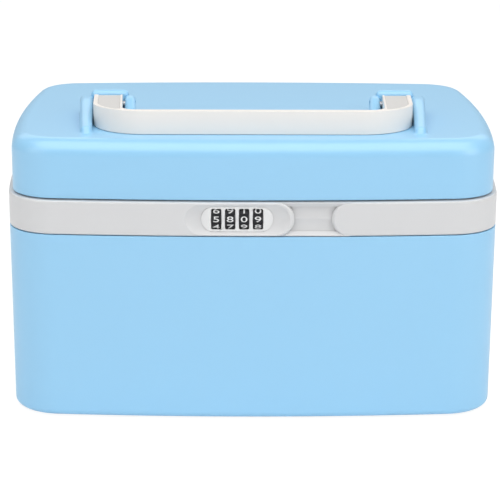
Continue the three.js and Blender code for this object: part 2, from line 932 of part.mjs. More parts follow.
// The lid's catch: a pad on the lid's front wall and a plate with a window that hangs behind the button.
function makeCatch() {
  const left = buttonCentreX - catchWidth / 2;
  const right = buttonCentreX + catchWidth / 2;
  const padFront = front + lidInset + lidWall + frontFallAway(right) + gap + 0.06;
  const padLow = bandTop + lipHeight + 1.2;
  const padHigh = padLow + catchPadHeight;
  const low = bandTop - catchReach;
  const shape = new THREE.Shape();
  shape.moveTo(padFront, padLow);
  shape.lineTo(catchFront, padLow);
  shape.lineTo(catchFront, low + 1);
  shape.lineTo(catchFront + 0.8, low);
  shape.lineTo(catchBack, low);
  shape.lineTo(catchBack, padHigh - 3);
  shape.quadraticCurveTo(catchBack, padHigh, catchBack - 3, padHigh);
  shape.lineTo(padFront, padHigh);
  shape.closePath();
  const window = block(left + 2, right - 2, catchFront - 1, catchBack + 1, bandMid - 1, bandMid + 3);
  return alongX(shape, left, right, 0, 4).subtract(window);
}

// Lid with its hinge knuckles and handle brackets

function makeLid() {
  const outer = lidInset;
  const inner = lidInset + lidWall;
  const ceiling = lidTop - lidWall;
  const innerFillet = lidTopFillet - lidWall;
  const shell = loft([
    ...filletRings(inner, ceiling, innerFillet, -1, 90, 0, 3),
    [inner, lidBottom],
    [outer + lidEdgeRound, lidBottom],
    [outer, lidBottom + lidEdgeRound],
    ...filletRings(outer, lidTop, lidTopFillet, -1, 0, 90, 5),
  ]);
  const notches = hingePlaces().flatMap((x) =>
    [-1, 1].map((side) => {
      const near = x + side * (hingeKnuckleWidth / 2);
      const far = near + side * (hingeLugWidth + 3 * gap);
      return block(
        Math.min(near, far),
        Math.max(near, far),
        rear - hingeNotchDepth,
        rear + 1,
        lidBottom - 1,
        hingeZ + hingeBarrelRadius + 1,
      );
    }),
  );
  const knuckles = hingePlaces().map((x) =>
    rodX(x - hingeKnuckleWidth / 2, x + hingeKnuckleWidth / 2, hingeY, hingeZ, hingeBarrelRadius, 20),
  );
  const pinHoles = hingePlaces().map((x) =>
    rodX(x - hingeKnuckleWidth, x + hingeKnuckleWidth, hingeY, hingeZ, hingePinRadius + gap),
  );
  return shell
    .subtract(wasm.Manifold.union(notches))
    .add(wasm.Manifold.union([...knuckles, bracket(1), bracket(-1)]))
    .subtract(wasm.Manifold.union([...pinHoles, handlePinHole(1), handlePinHole(-1)]));
}

function makeHingePin(x) {
  const half = hingeKnuckleWidth / 2 + gap + hingeLugWidth;
  return rodX(x - half, x + half, hingeY, hingeZ, hingePinRadius);
}

// Half the outer width of the handle where it reaches the pivot.
const splaySlope = Math.tan((armSplay * Math.PI) / 180);
const cornerY = -handleReach + handleCornerRadius;
const armOuterX = handleWidth / 2 + splaySlope * (handlePivotY - cornerY);
const pivotZ = lidTop + handlePivotHeight;
const outerLugX = armOuterX + slideGap;
const innerLugX = armOuterX - handleArmWidth - innerLugGap - innerLugWidth;

// The side view of a bracket lug: level on top, round at the back and sloping down at the front.
function lugShape(length, slope) {
  const shape = new THREE.Shape();
  const base = lidTop - 1;
  const top = lidTop + lugHeight;
  const back = handlePivotY + handleEndRadius + slideGap + 1;
  const tip = back - length;
  shape.moveTo(back, base);
  shape.lineTo(back, top - lugEndRound);
  shape.quadraticCurveTo(back, top, back - lugEndRound, top);
  shape.lineTo(tip + slope + lugEndRound, top);
  shape.quadraticCurveTo(tip + slope, top, tip + slope - 2, top - 2);
  shape.lineTo(tip, lidTop);
  shape.lineTo(tip, base);
  shape.closePath();
  return shape;
}

// A lug from x to x + width: its side view cut to a front view with a round top.
function lug(x, width, length, slope) {
  const side = alongX(lugShape(length, slope), x, x + width, 0, 4);
  const view = roundedRect(x + width / 2, lidTop + lugHeight / 2 - 2, width, lugHeight + 4, width * 0.36);
  return side.intersect(alongY(view, -boxDepth / 2, 0, 0, 4));
}

// The moulded bracket round one end of the handle: an outer ridge, a back wall and an inner lug.
function bracket(side) {
  const wallFront = handlePivotY + handleEndRadius + slideGap;
  const middle = wallFront + bracketWall / 2;
  const wallView = roundedRect(middle, lidTop + lugHeight / 2 - 1, bracketWall, lugHeight + 3, 2.4);
  const wallStart = innerLugX + innerLugWidth - bracketWallInset;
  const wallEnd = outerLugX + outerLugWidth - bracketWallInset;
  const wall = alongX(wallView, wallStart, wallEnd, 0, 4);
  const parts = [
    splayed(lug(outerLugX, outerLugWidth, outerLugLength, lugHeight)),
    splayed(lug(innerLugX, innerLugWidth, innerLugLength, innerLugSlope)),
    wall,
  ];
  const whole = wasm.Manifold.union(parts);
  return side > 0 ? whole : whole.mirror([1, 0, 0]);
}

// Turns a piece of the right-hand bracket in towards the front, about the handle's pivot.
function splayed(solid) {
  return solid
    .translate([-armOuterX, -handlePivotY, 0])
    .rotate([0, 0, -armSplay])
    .translate([armOuterX, handlePivotY, 0]);
}

function handlePinSpan() {
  return [innerLugX, outerLugX + outerLugWidth * 0.55];
}

function handlePinHole(side) {
  const [from, to] = handlePinSpan();
  const ends = [side * (from - 2), side * (to + gap)];
  return rodX(Math.min(...ends), Math.max(...ends), handlePivotY, pivotZ, handlePinRadius + gap);
}

function makeHandlePin(side) {
  const [from, to] = handlePinSpan();
  const ends = [side * (from + 0.6), side * to];
  return rodX(Math.min(...ends), Math.max(...ends), handlePivotY, pivotZ, handlePinRadius);
}

// Half the outer width of the handle's plan at a given y behind its round corners.
function armEdge(y) {
  return handleWidth / 2 + splaySlope * (y - cornerY);
}

// The handle's plan: a U with splayed arms, a thin front bar and large round outer corners.
function handlePlan() {
  const endY = handlePivotY + handleEndRadius;
  const innerBar = -handleReach + handleBarThickness;
  const bend = innerBar + handleInnerRadius;
  const innerX = (y) => armEdge(y) - handleArmWidth;
  const roundX = handleWidth / 2 - handleCornerRadius;
  const plan = new THREE.Shape();
  plan.moveTo(armEdge(endY), endY);
  plan.lineTo(innerX(endY), endY);
  plan.lineTo(innerX(bend), bend);
  plan.quadraticCurveTo(innerX(innerBar), innerBar, innerX(innerBar) - handleInnerRadius, innerBar);
  plan.lineTo(handleInnerRadius - innerX(innerBar), innerBar);
  plan.quadraticCurveTo(-innerX(innerBar), innerBar, -innerX(bend), bend);
  plan.lineTo(-innerX(endY), endY);
  plan.lineTo(-armEdge(endY), endY);
  plan.lineTo(-handleWidth / 2, cornerY);
  plan.absarc(-roundX, cornerY, handleCornerRadius, Math.PI, 1.5 * Math.PI);
  plan.absarc(roundX, cornerY, handleCornerRadius, 1.5 * Math.PI, 2 * Math.PI);
  plan.closePath();
  return plan;
}

// The handle's side view: level under the bar, sloping down to a round end about the pivot.
function handleSideView(low, high) {
  const innerBar = -handleReach + handleBarThickness;
  const view = new THREE.Shape();
  view.moveTo(-handleReach - 1, low - 1);
  view.lineTo(handlePivotY, pivotZ - handleEndRadius);
  view.absarc(handlePivotY, pivotZ, handleEndRadius, -Math.PI / 2, Math.PI / 2);
  view.lineTo(innerBar, high);
  view.lineTo(-handleReach - 1, high);
  view.closePath();
  return view;
}

// The shallow sunk panel on top of the right arm, which follows the outer corner.
function armPanel(high) {
  const roundX = handleWidth / 2 - handleCornerRadius;
  const roundRadius = handleCornerRadius - panelOuterRim;
  const tipY = -handleReach + handleBarThickness + panelTipRim;
  const tipAngle = Math.asin((cornerY - tipY) / roundRadius);
  const backY = handlePivotY + handleEndRadius - panelOuterRim;
  const innerX = (y) => armEdge(y) - handleArmWidth + panelInnerRim;
  const plan = new THREE.Shape();
  plan.moveTo(innerX(backY), backY);
  plan.lineTo(innerX(tipY), tipY);
  plan.absarc(roundX, cornerY, roundRadius, -tipAngle, 0);
  plan.lineTo(armEdge(backY) - panelOuterRim, backY);
  plan.closePath();
  const drop = Math.atan2(
    high - pivotZ - handleEndRadius,
    handlePivotY + handleReach - handleBarThickness,
  );
  return alongZ(plan, 0, handleBarHeight)
    .translate([0, -handlePivotY, 0])
    .rotate([(-drop * 180) / Math.PI, 0, 0])
    .translate([0, handlePivotY, pivotZ + handleEndRadius - panelDepth]);
}

function makeHandle() {
  const low = lidTop + handleLift;
  const high = lidTop + handleBarHeight;
  const strap = alongZ(handlePlan(), low, high, handleEdgeRound, 8);
  const view = alongX(handleSideView(low, high), -handleWidth, handleWidth, 0, 10);
  const panel = armPanel(high);
  return strap
    .intersect(view)
    .subtract(wasm.Manifold.union([handlePinHole(1), handlePinHole(-1), panel, panel.mirror([1, 0, 0])]));
}

// Lift-out tray

// The tray: a shallow pan hung by its rim, with rows of pockets and two finger notches.
function makeTray() {
  const rimInset = lipInset + lipWall + 1;
  const bodyInset = ledgeInset + slideGap;
  const under = bandTop + gap;
  const top = under + trayRimThickness;
  const bottom = top - trayDepth;
  const keep = block(-boxWidth, boxWidth, trayFront, boxDepth, 0, lidTop);
  const keepBody = block(-boxWidth, boxWidth, trayFront + trayFrontStep, boxDepth, 0, lidTop);
  const rim = loft([
    [rimInset, under],
    [rimInset, top],
  ]).intersect(keep);
  const pan = loft([
    ...filletRings(bodyInset, bottom, 4, 1, 90, 0, 3),
    [bodyInset, top],
  ]).intersect(keepBody);
  const pockets = trayPockets().map(([x, y, width, depth]) =>
    alongZ(roundedRect(x, y, width, depth, trayPocketRadius), bottom + trayWall, top + 1, 0, 3),
  );
  const fingerX = boxWidth / 2 - rimInset + trayFingerOut;
  const notches = [-1, 1].map((side) =>
    rodZ(under - 1, top + 1, side * fingerX, trayFingerBack, trayFingerRadius, 20),
  );
  return rim.add(pan).subtract(wasm.Manifold.union(pockets)).subtract(
    wasm.Manifold.union(notches).subtract(pan),
  );
}

// The pockets as [x, y, width, depth]: a front row of equal pockets and a back row of two.
function trayPockets() {
  const halfWidth = boxWidth / 2 - ledgeInset - slideGap - trayWall - 2.2;
  const low = trayFront + trayFrontStep + trayWall;
  const high = rear - ledgeInset - slideGap - trayWall - 1.8;
  const split = low + (high - low) * 0.45;
  const wall = trayWall / 2;
  const row = (count, from, to) =>
    Array.from({ length: count }, (_, i) => {
      const width = (2 * halfWidth) / count;
      const corner = i === 0 || i === count - 1 ? 3 : 0;
      const shift = i === 0 ? corner / 2 : i === count - 1 ? -corner / 2 : 0;
      return [
        -halfWidth + (i + 0.5) * width + shift,
        (from + to) / 2,
        width - trayWall - corner,
        to - from - trayWall,
      ];
    });
  return [...row(trayColumns, low - wall, split), ...row(2, split, high + wall)];
}

// The object

const group = new THREE.Group();
const paints = {
  blue: { color: 0x9ad0f3, roughness: 0.38, metalness: 0 },
  grey: { color: 0xd7d7d8, roughness: 0.42, metalness: 0 },
  pale: { color: 0xe8e7e6, roughness: 0.4, metalness: 0 },
  black: { color: 0x17181a, roughness: 0.45, metalness: 0 },
  steel: { color: 0xb9bcc0, roughness: 0.3, metalness: 1 },
  rubber: { color: 0xc9ccd0, roughness: 0.8, metalness: 0 },
  clear: { color: 0xeef4f8, roughness: 0.35, metalness: 0 },
};

function put(name, solid, paint) {
  const mesh = new THREE.Mesh(geometryOf(solid), new THREE.MeshStandardMaterial(paints[paint]));
  mesh.name = name;
  group.add(mesh);
}

put("base_tub", makeTub(), "blue");
footPlaces().forEach((place, i) => put(`foot_pad_${i + 1}`, makeFoot(place), "rubber"));
put("rim_band", makeRim(), "grey");
put("lock_bezel", makeBezel(), "pale");
dialXs.forEach((x, i) => {
  put(`number_dial_${i + 1}`, makeDial(x), "black");
  put(`code_ring_${i + 1}`, makeCodeRing(x), "steel");
});
put("dial_axle", makeAxle(), "steel");
put("detent_spring", makeDetentSpring(), "steel");
put("lock_cover", makeLockCover(), "grey");
coverScrewXs().forEach((x, i) => put(`cover_screw_${i + 1}`, makeCoverScrew(x), "steel"));
put("code_reset_lever", makeResetLever(), "black");
put("latch_button", makeButton(), "grey");
put("latch_slider", makeSlider(), "grey");
put("latch_spring", makeSpring(), "steel");
put("lid_catch", makeCatch(), "grey");
put("lid_shell", makeLid(), "blue");
hingePlaces().forEach((x, i) => put(`hinge_pin_${i + 1}`, makeHingePin(x), "steel"));
put("carry_handle", makeHandle(), "pale");
[-1, 1].forEach((side, i) => put(`handle_pin_${i + 1}`, makeHandlePin(side), "steel"));
put("lift_out_tray", makeTray(), "clear");

export default group;
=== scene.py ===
"""Looks of the medication lock box: shells, lock, handle, finishes, floor, light and camera."""

import logging
import math
from contextlib import contextmanager
from dataclasses import dataclass, field
from enum import Enum
from itertools import pairwise
from typing import Callable, Iterator, Sequence

import bmesh
import bpy
from mathutils import Matrix, Vector


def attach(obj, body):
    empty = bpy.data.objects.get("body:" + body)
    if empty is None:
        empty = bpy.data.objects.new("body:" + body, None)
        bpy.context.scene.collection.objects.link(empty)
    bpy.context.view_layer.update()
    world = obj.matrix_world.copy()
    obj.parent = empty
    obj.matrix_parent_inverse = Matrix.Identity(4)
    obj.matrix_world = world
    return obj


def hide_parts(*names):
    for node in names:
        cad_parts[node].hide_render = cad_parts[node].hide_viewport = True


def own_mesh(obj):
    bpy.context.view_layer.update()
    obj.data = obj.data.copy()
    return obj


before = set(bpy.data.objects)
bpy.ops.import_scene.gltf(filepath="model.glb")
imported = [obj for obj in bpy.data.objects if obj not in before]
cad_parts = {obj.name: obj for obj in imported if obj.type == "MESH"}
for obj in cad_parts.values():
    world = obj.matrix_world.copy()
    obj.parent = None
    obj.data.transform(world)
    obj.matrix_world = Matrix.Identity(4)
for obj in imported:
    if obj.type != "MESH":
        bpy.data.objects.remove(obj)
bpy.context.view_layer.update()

MM = 0.001
log = logging.getLogger("lock_box")

# Two coordinates count as the same within this, in metres
NEAR = 1e-5

# Vertices closer together than this, in millimetres, are doubled
DOUBLE = 0.002

# The play, in millimetres, that a limit for picking leaves round what it picks
HAIR = 0.01

# The share of a face's normal along an axis from which the face counts as facing that way
SQUARE_ON = 0.9

# The angle, in degrees, from which an edge between flat sides counts as a crease
CREASE = 60

# How many digits a dial has
DIGITS = 10

Piece = bpy.types.Object
Tree = bpy.types.NodeTree
Node = bpy.types.Node
Edge = bmesh.types.BMEdge
Point = tuple[float, float]
Corner = tuple[float, float, float]
Colour = tuple[float, float, float]
Value = float | tuple[float, ...]
WHITE = (1, 1, 1, 1)


class Mix(Enum):
    """How one solid is worked into another."""

    CUT = "DIFFERENCE"
    ADD = "UNION"
    COMMON = "INTERSECT"


class Facing(Enum):
    """The way that an outline is extruded, across the view in which it is drawn."""

    ALONG_X = "x"
    ALONG_Y = "y"
    ALONG_Z = "z"


# Hand tools


def deselect() -> None:
    """Leaves nothing selected in object mode."""
    bpy.ops.object.select_all(action="DESELECT")


def activate(piece: Piece) -> None:
    """Makes one piece the only selected and the active one.

    Args:
        piece: The piece.
    """
    deselect()
    piece.select_set(True)
    bpy.context.view_layer.objects.active = piece


@contextmanager
def editing(piece: Piece, mode: str = "VERT") -> Iterator[None]:
    """Opens a piece in edit mode with all of it selected, and closes it afterwards.

    Args:
        piece: The piece to edit.
        mode: The kind of element that is selected: VERT, EDGE or FACE.

    Returns:
        The context, which gives nothing.
    """
    activate(piece)
    bpy.ops.object.mode_set(mode="EDIT")
    bpy.ops.mesh.select_mode(type=mode)
    bpy.ops.mesh.select_all(action="SELECT")
    try:
        yield
    finally:
        bpy.ops.object.mode_set(mode="OBJECT")


def pick(piece: Piece, wanted: Callable[..., bool], kind: str = "verts") -> int:
    """Selects, in edit mode, only the elements that pass a test.

    Args:
        piece: The piece in edit mode.
        wanted: The test, which is given one element.
        kind: The kind of element: verts, edges or faces.

    Returns:
        How many elements were selected.
    """
    bpy.ops.mesh.select_all(action="DESELECT")
    mesh = bmesh.from_edit_mesh(piece.data)
    chosen = [each for each in getattr(mesh, kind) if wanted(each)]
    for each in chosen:
        each.select_set(True)
    bmesh.update_edit_mesh(piece.data)
    return len(chosen)


def added(name: str) -> Piece:
    """Names the object that was just added and brings its origin to the frame's.

    Args:
        name: The piece's name.

    Returns:
        The piece, unturned and unscaled.
    """
    piece = bpy.context.object
    piece.name = name
    bpy.ops.object.transform_apply(location=True, rotation=True, scale=True)
    return piece


def modify(piece: Piece, kind: str, **settings: object) -> None:
    """Adds a modifier to a piece and applies it.

    Args:
        piece: The piece.
        kind: The modifier's type.
        **settings: The modifier's properties.
    """
    activate(piece)
    step = piece.modifiers.new(kind.lower(), kind)
    for key, value in settings.items():
        setattr(step, key, value)
    bpy.ops.object.modifier_apply(modifier=step.name)


def point_piece(name: str, place: Vector) -> Piece:
    """Adds a piece that is a single vertex, ready to be extruded.

    Args:
        name: The piece's name.
        place: Where the vertex lies, in metres.

    Returns:
        The new piece, at the origin.
    """
    deselect()
    bpy.ops.mesh.primitive_plane_add(size=MM, location=place)
    piece = added(name)
    with editing(piece):
        bpy.ops.mesh.merge(type="CENTER")
    return piece


def extrude_chain(piece: Piece, places: Sequence[Vector]) -> None:
    """Extrudes a single-vertex piece from point to point.

    Args:
        piece: The piece that holds the first vertex.
        places: All points of the chain, the first one included, in metres.
    """
    with editing(piece):
        for here, there in pairwise(places):
            bpy.ops.mesh.extrude_region_move(TRANSFORM_OT_translate={"value": there - here})


def work_in(piece: Piece, how: Mix, *others: Piece) -> None:
    """Joins or cuts a piece with other ones, which are used up.

    Args:
        piece: The piece that is kept.
        how: Whether each is cut away, added, or only the common part is kept.
        *others: The solids that are worked in and then removed.
    """
    for other in others:
        outward(piece)
        outward(other)
        modify(piece, "BOOLEAN", operation=how.value, solver="EXACT", object=other)
        bpy.data.objects.remove(other)


def outward(piece: Piece) -> None:
    """Merges doubled vertices and turns every face outwards.

    Args:
        piece: The piece.
    """
    with editing(piece):
        bpy.ops.mesh.remove_doubles(threshold=DOUBLE * MM)
        bpy.ops.mesh.normals_make_consistent(inside=False)


def merge_close(piece: Piece, distance: float) -> None:
    """Merges vertices that a cut left closer together than a distance in millimetres."""
    with editing(piece):
        bpy.ops.mesh.remove_doubles(threshold=distance * MM)


def trim_below(piece: Piece, height: float) -> None:
    """Cuts away what lies under a height, in millimetres, and closes the cut."""
    cut = {"plane_co": (0, 0, height * MM), "plane_no": (0, 0, 1)}
    with editing(piece):
        bpy.ops.mesh.bisect(**cut, use_fill=True, clear_inner=True)


def round_edges(
    piece: Piece,
    wanted: Callable[[Edge], bool],
    width: float,
    steps: int = 3,
    clamp: bool = True,
) -> None:
    """Rounds the edges of a piece that pass a test.

    Args:
        piece: The piece to work on.
        wanted: The test, which is given an edge.
        width: The width of the round, in millimetres.
        steps: How many steps the round has.
        clamp: Whether the whole round shrinks where it would run into itself.
    """
    shape = {"offset": width * MM, "segments": steps, "profile": 0.5}
    with editing(piece, "EDGE"):
        if pick(piece, wanted, "edges"):
            bpy.ops.mesh.bevel(**shape, affect="EDGES", clamp_overlap=clamp)


def is_sharp(edge: Edge, degrees: float = 40) -> bool:
    """Whether the faces at an edge meet at more than an angle."""
    return len(edge.link_faces) == 2 and edge.calc_face_angle(0) > math.radians(degrees)


def lies_at(edge: Edge, height: float) -> bool:
    """Whether both ends of an edge lie at a height, in millimetres."""
    return all(abs(v.co.z - height * MM) < NEAR for v in edge.verts)


def arc(a: float, b: float, radius: float, start: float, end: float, steps: int) -> list[Point]:
    """Draws an arc.

    Args:
        a: The first coordinate of its centre.
        b: The second one.
        radius: Its radius.
        start: The angle of its first point, in degrees.
        end: The angle of its last point.
        steps: How many steps it has.

    Returns:
        The arc's points.
    """
    turns = [math.radians(start + (end - start) * k / steps) for k in range(steps + 1)]
    return [(a + radius * math.cos(t), b + radius * math.sin(t)) for t in turns]


def rounded(low: Point, high: Point, radius: float) -> list[Point]:
    """Draws a rectangle between two corners, with round corners of one radius."""
    (a, b), (c, d) = low, high
    return soften([(a, b, radius), (c, b, radius), (c, d, radius), (a, d, radius)])


def soften(corners: Sequence[Corner], steps: int = 4, closed: bool = True) -> list[Point]:
    """Rounds the corners of an outline.

    Args:
        corners: The corners as (a, b, radius).
        steps: How many steps each round has.
        closed: Whether the outline closes on itself. Ends of an open one stay as they are.

    Returns:
        The outline's points.
    """
    points: list[Point] = []
    count = len(corners)
    for i, (a, b, radius) in enumerate(corners):
        at_end = not closed and i in (0, count - 1)
        if radius <= 0 or at_end:
            points.append((a, b))
            continue
        here = Vector((a, b))
        before = (Vector(corners[i - 1][:2]) - here).normalized()
        after = (Vector(corners[(i + 1) % count][:2]) - here).normalized()
        half = before.angle(after) / 2
        centre = here + (before + after).normalized() * (radius / math.sin(half))
        start = here + before * (radius / math.tan(half)) - centre
        turn = start.angle_signed(here + after * (radius / math.tan(half)) - centre)
        for k in range(steps + 1):
            spoke = start.copy()
            spoke.rotate(Matrix.Rotation(-turn * k / steps, 2))
            points.append((centre.x + spoke.x, centre.y + spoke.y))
    return points


def prism(name: str, outline: Sequence[Point], facing: Facing, start: float, end: float) -> Piece:
    """Draws an outline vertex by vertex, fills it and extrudes it.

    Args:
        name: The piece's name.
        outline: The points of the closed outline, in millimetres.
        facing: The direction of the extrusion.
        start: Where the extrusion starts along that direction, in millimetres.
        end: Where it ends.

    Returns:
        The closed solid.
    """
    order = "xyz".index(facing.value)
    places = [Vector([*point[:order], start, *point[order:]]) * MM for point in outline]
    depth = Vector([(end - start) * MM * (facing.value == axis) for axis in "xyz"])
    piece = point_piece(name, places[0])
    extrude_chain(piece, places)
    with editing(piece):
        bpy.ops.mesh.edge_face_add()
        bpy.ops.mesh.extrude_region_move(TRANSFORM_OT_translate={"value": depth})
    outward(piece)
    return piece


def block(name: str, low: Sequence[float], high: Sequence[float], radius: float = 0) -> Piece:
    """Adds a box between two corners, with its edges rounded if a radius is given.

    Args:
        name: The piece's name.
        low: The lowest corner, in millimetres.
        high: The highest corner.
        radius: The radius of its edges.

    Returns:
        The box.
    """
    deselect()
    near, far = Vector(low), Vector(high)
    middle, span = (near + far) / 2 * MM, (far - near) * MM
    bpy.ops.mesh.primitive_cube_add(size=1, location=middle, scale=span)
    piece = added(name)
    if radius:
        round_edges(piece, lambda edge: True, radius, steps=5)
    return piece


def rod(
    name: str, axis: str, start: Sequence[float], length: float, radius: float, sides: int = 48
) -> Piece:
    """Adds a cylinder that starts at a point and runs along an axis.

    Args:
        name: The piece's name.
        axis: The axis: x, y or z.
        start: The middle of its first end, in millimetres.
        length: Its length.
        radius: Its radius.
        sides: How many sides it has.

    Returns:
        The cylinder.
    """
    along = Vector([float(axis == each) for each in "xyz"])
    deselect()
    bpy.ops.mesh.primitive_cylinder_add(
        vertices=sides,
        radius=radius * MM,
        depth=length * MM,
        location=(Vector(start) + along * (length / 2)) * MM,
        rotation={"x": (0, math.pi / 2, 0), "y": (math.pi / 2, 0, 0), "z": (0, 0, 0)}[axis],
    )
    return added(name)


def turn(piece: Piece, degrees: float, axis: str, centre: Sequence[float]) -> None:
    """Turns a whole piece about a line.

    Args:
        piece: The piece.
        degrees: The angle, right-handed about the axis.
        axis: The axis that the line is parallel to: X, Y or Z.
        centre: A point on the line, in millimetres.
    """
    with editing(piece):
        spin_picked(degrees, axis, centre)


def spin_picked(degrees: float, axis: str, centre: Sequence[float]) -> None:
    """Turns what is selected in edit mode, right-handed, about a line given as in turn."""
    angle, middle = -math.radians(degrees), Vector(centre) * MM
    bpy.ops.transform.rotate(value=angle, orient_axis=axis, center_override=middle)


def shift(piece: Piece, step: Sequence[float]) -> None:
    """Moves a whole piece by a step in millimetres."""
    with editing(piece):
        bpy.ops.transform.translate(value=Vector(step) * MM)


def mirrored(piece: Piece, name: str) -> Piece:
    """Copies a piece to the other side of the middle plane.

    Args:
        piece: The piece on one side.
        name: The copy's name.

    Returns:
        The mirrored copy, with a mesh of its own.
    """
    activate(piece)
    bpy.ops.object.duplicate()
    copy = bpy.context.object
    copy.name = name
    with editing(copy):
        bpy.ops.transform.resize(value=(-1, 1, 1), center_override=(0, 0, 0))
    outward(copy)
    return copy


# Finishes


def new_group(name: str, inputs: dict[str, Value]) -> Tree:
    """Makes a shader node group that puts out a colour, a roughness and a normal.

    Args:
        name: The group's name.
        inputs: The sockets that each material sets, with their first values.

    Returns:
        The group, with one Group Input and one Group Output node.
    """
    tree = bpy.data.node_groups.new(name, "ShaderNodeTree")
    for label, value in inputs.items():
        kind = "NodeSocketColor" if isinstance(value, tuple) else "NodeSocketFloat"
        tree.interface.new_socket(label, in_out="INPUT", socket_type=kind).default_value = value
    for label, kind in (("Colour", "Color"), ("Roughness", "Float"), ("Normal", "Vector")):
        tree.interface.new_socket(label, in_out="OUTPUT", socket_type=f"NodeSocket{kind}")
    tree.nodes.new("NodeGroupInput")
    tree.nodes.new("NodeGroupOutput")
    return tree


def node(
    tree: Tree, kind: str, values: dict[str | int, Value] | None = None, **settings: object
) -> Node:
    """Adds a node to a tree.

    Args:
        tree: The node tree.
        kind: The node's type, without Shader and Node before it.
        values: The values of its input sockets, by name or number.
        **settings: Its own properties.

    Returns:
        The node.
    """
    made = tree.nodes.new(f"ShaderNode{kind}")
    for key, value in settings.items():
        setattr(made, key, value)
    for key, value in (values or {}).items():
        made.inputs[key].default_value = value
    return made


def wire(tree: Tree, *links: tuple[Node, str | int, Node, str | int]) -> None:
    """Links nodes, each link given as a node and its output, then a node and its input."""
    for source, output, target, entry in links:
        tree.links.new(source.outputs[output], target.inputs[entry])


def moulding_group() -> None:
    """Builds the group that every moulded plastic shares.

    It puts out a colour with faint flow clouds, a roughness that wanders a little, and the normal
    of the fine spark-eroded grain.
    """
    pale = (0.8, 0.8, 0.8, 1)
    tree = new_group(
        "moulded_plastic",
        {
            "Colour": pale,
            "Cloud Tint": pale,
            "Cloud Amount": 0.3,
            "Roughness": 0.35,
            "Roughness Spread": 0.08,
            "Grain Size": 0.6,
            "Grain Depth": 0.1,
        },
    )
    source, result = tree.nodes["Group Input"], tree.nodes["Group Output"]
    place = node(tree, "TexCoord")
    clouds = node(tree, "TexNoise", {"Scale": 16, "Detail": 3, "Roughness": 0.55})
    grain = node(tree, "TexNoise", {"Detail": 2})
    smear = node(tree, "TexNoise", {"Scale": 55, "Detail": 4})
    share = node(tree, "Math", operation="MULTIPLY")
    tint = node(tree, "Mix", data_type="RGBA")
    pitch = node(tree, "Math", {0: 1 / MM}, operation="DIVIDE")
    bump = node(tree, "Bump", {"Distance": 0.02 * MM})
    centred = node(tree, "Math", {1: 0.5}, operation="SUBTRACT")
    swing = node(tree, "Math", operation="MULTIPLY")
    total = node(tree, "Math", operation="ADD", use_clamp=True)
    wire(
        tree,
        *((place, "Object", noise, "Vector") for noise in (clouds, grain, smear)),
        (clouds, "Fac", share, 0),
        (source, "Cloud Amount", share, 1),
        (share, 0, tint, "Factor"),
        (source, "Colour", tint, "A"),
        (source, "Cloud Tint", tint, "B"),
        (tint, "Result", result, "Colour"),
        (source, "Grain Size", pitch, 1),
        (pitch, 0, grain, "Scale"),
        (grain, "Fac", bump, "Height"),
        (source, "Grain Depth", bump, "Strength"),
        (bump, "Normal", result, "Normal"),
        (smear, "Fac", centred, 0),
        (centred, 0, swing, 0),
        (source, "Roughness Spread", swing, 1),
        (source, "Roughness", total, 0),
        (swing, 0, total, 1),
        (total, 0, result, "Roughness"),
    )


def drawn_metal_group() -> None:
    """Builds the group for plated and drawn metal: fine lines along X, with matching roughness."""
    colours = {"Colour": (0.6, 0.6, 0.6, 1), "Line Tint": (0.5, 0.5, 0.5, 1)}
    tree = new_group("drawn_metal", colours | {"Roughness": 0.3, "Line Depth": 0.15})
    source, result = tree.nodes["Group Input"], tree.nodes["Group Output"]
    place = node(tree, "TexCoord")
    stretch = node(tree, "Mapping", {"Scale": (60, 2400, 2400)})
    lines = node(tree, "TexNoise", {"Scale": 1, "Detail": 3})
    tint = node(tree, "Mix", data_type="RGBA")
    spread = node(tree, "Math", {1: 0.15}, operation="MULTIPLY_ADD")
    bump = node(tree, "Bump", {"Distance": 0.01 * MM})
    wire(
        tree,
        (place, "Object", stretch, "Vector"),
        (stretch, "Vector", lines, "Vector"),
        (lines, "Fac", tint, "Factor"),
        (source, "Colour", tint, "A"),
        (source, "Line Tint", tint, "B"),
        (tint, "Result", result, "Colour"),
        (lines, "Fac", spread, 0),
        (source, "Roughness", spread, 2),
        (spread, 0, result, "Roughness"),
        (lines, "Fac", bump, "Height"),
        (source, "Line Depth", bump, "Strength"),
        (bump, "Normal", result, "Normal"),
    )


@dataclass(frozen=True)
class Finish:
    """A finish: the group that varies it, the group's values and the shader's own constants."""

    name: str
    slot: str
    group: str
    values: dict[str, Value]
    shader: dict[str, Value] = field(default_factory=dict)

    def material(self) -> bpy.types.Material:
        """Gives the finish's material, which is made at its first use.

        Returns:
            The material.
        """
        found = bpy.data.materials.get(self.name)
        if found:
            return found
        made = bpy.data.materials.new(self.name)
        made.use_nodes = True
        tree = made.node_tree
        shader = tree.nodes["Principled BSDF"]
        group = node(tree, "Group", node_tree=bpy.data.node_groups[self.group])
        for target, values in ((group, self.values), (shader, self.shader)):
            for key, value in values.items():
                target.inputs[key].default_value = value
        wire(
            tree,
            (group, "Colour", shader, "Base Color"),
            (group, "Roughness", shader, "Roughness"),
            (group, "Normal", shader, "Normal"),
        )
        return made

    def dress(self, *pieces: Piece) -> None:
        """Gives pieces this finish alone.

        Args:
            *pieces: The pieces.
        """
        for piece in pieces:
            piece.data.materials.clear()
            piece.data.materials.append(self.material())

    def dress_nodes(self, *names: str) -> None:
        """Gives plain solids of the frame this finish, found by their names."""
        self.dress(*(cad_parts[name] for name in names))


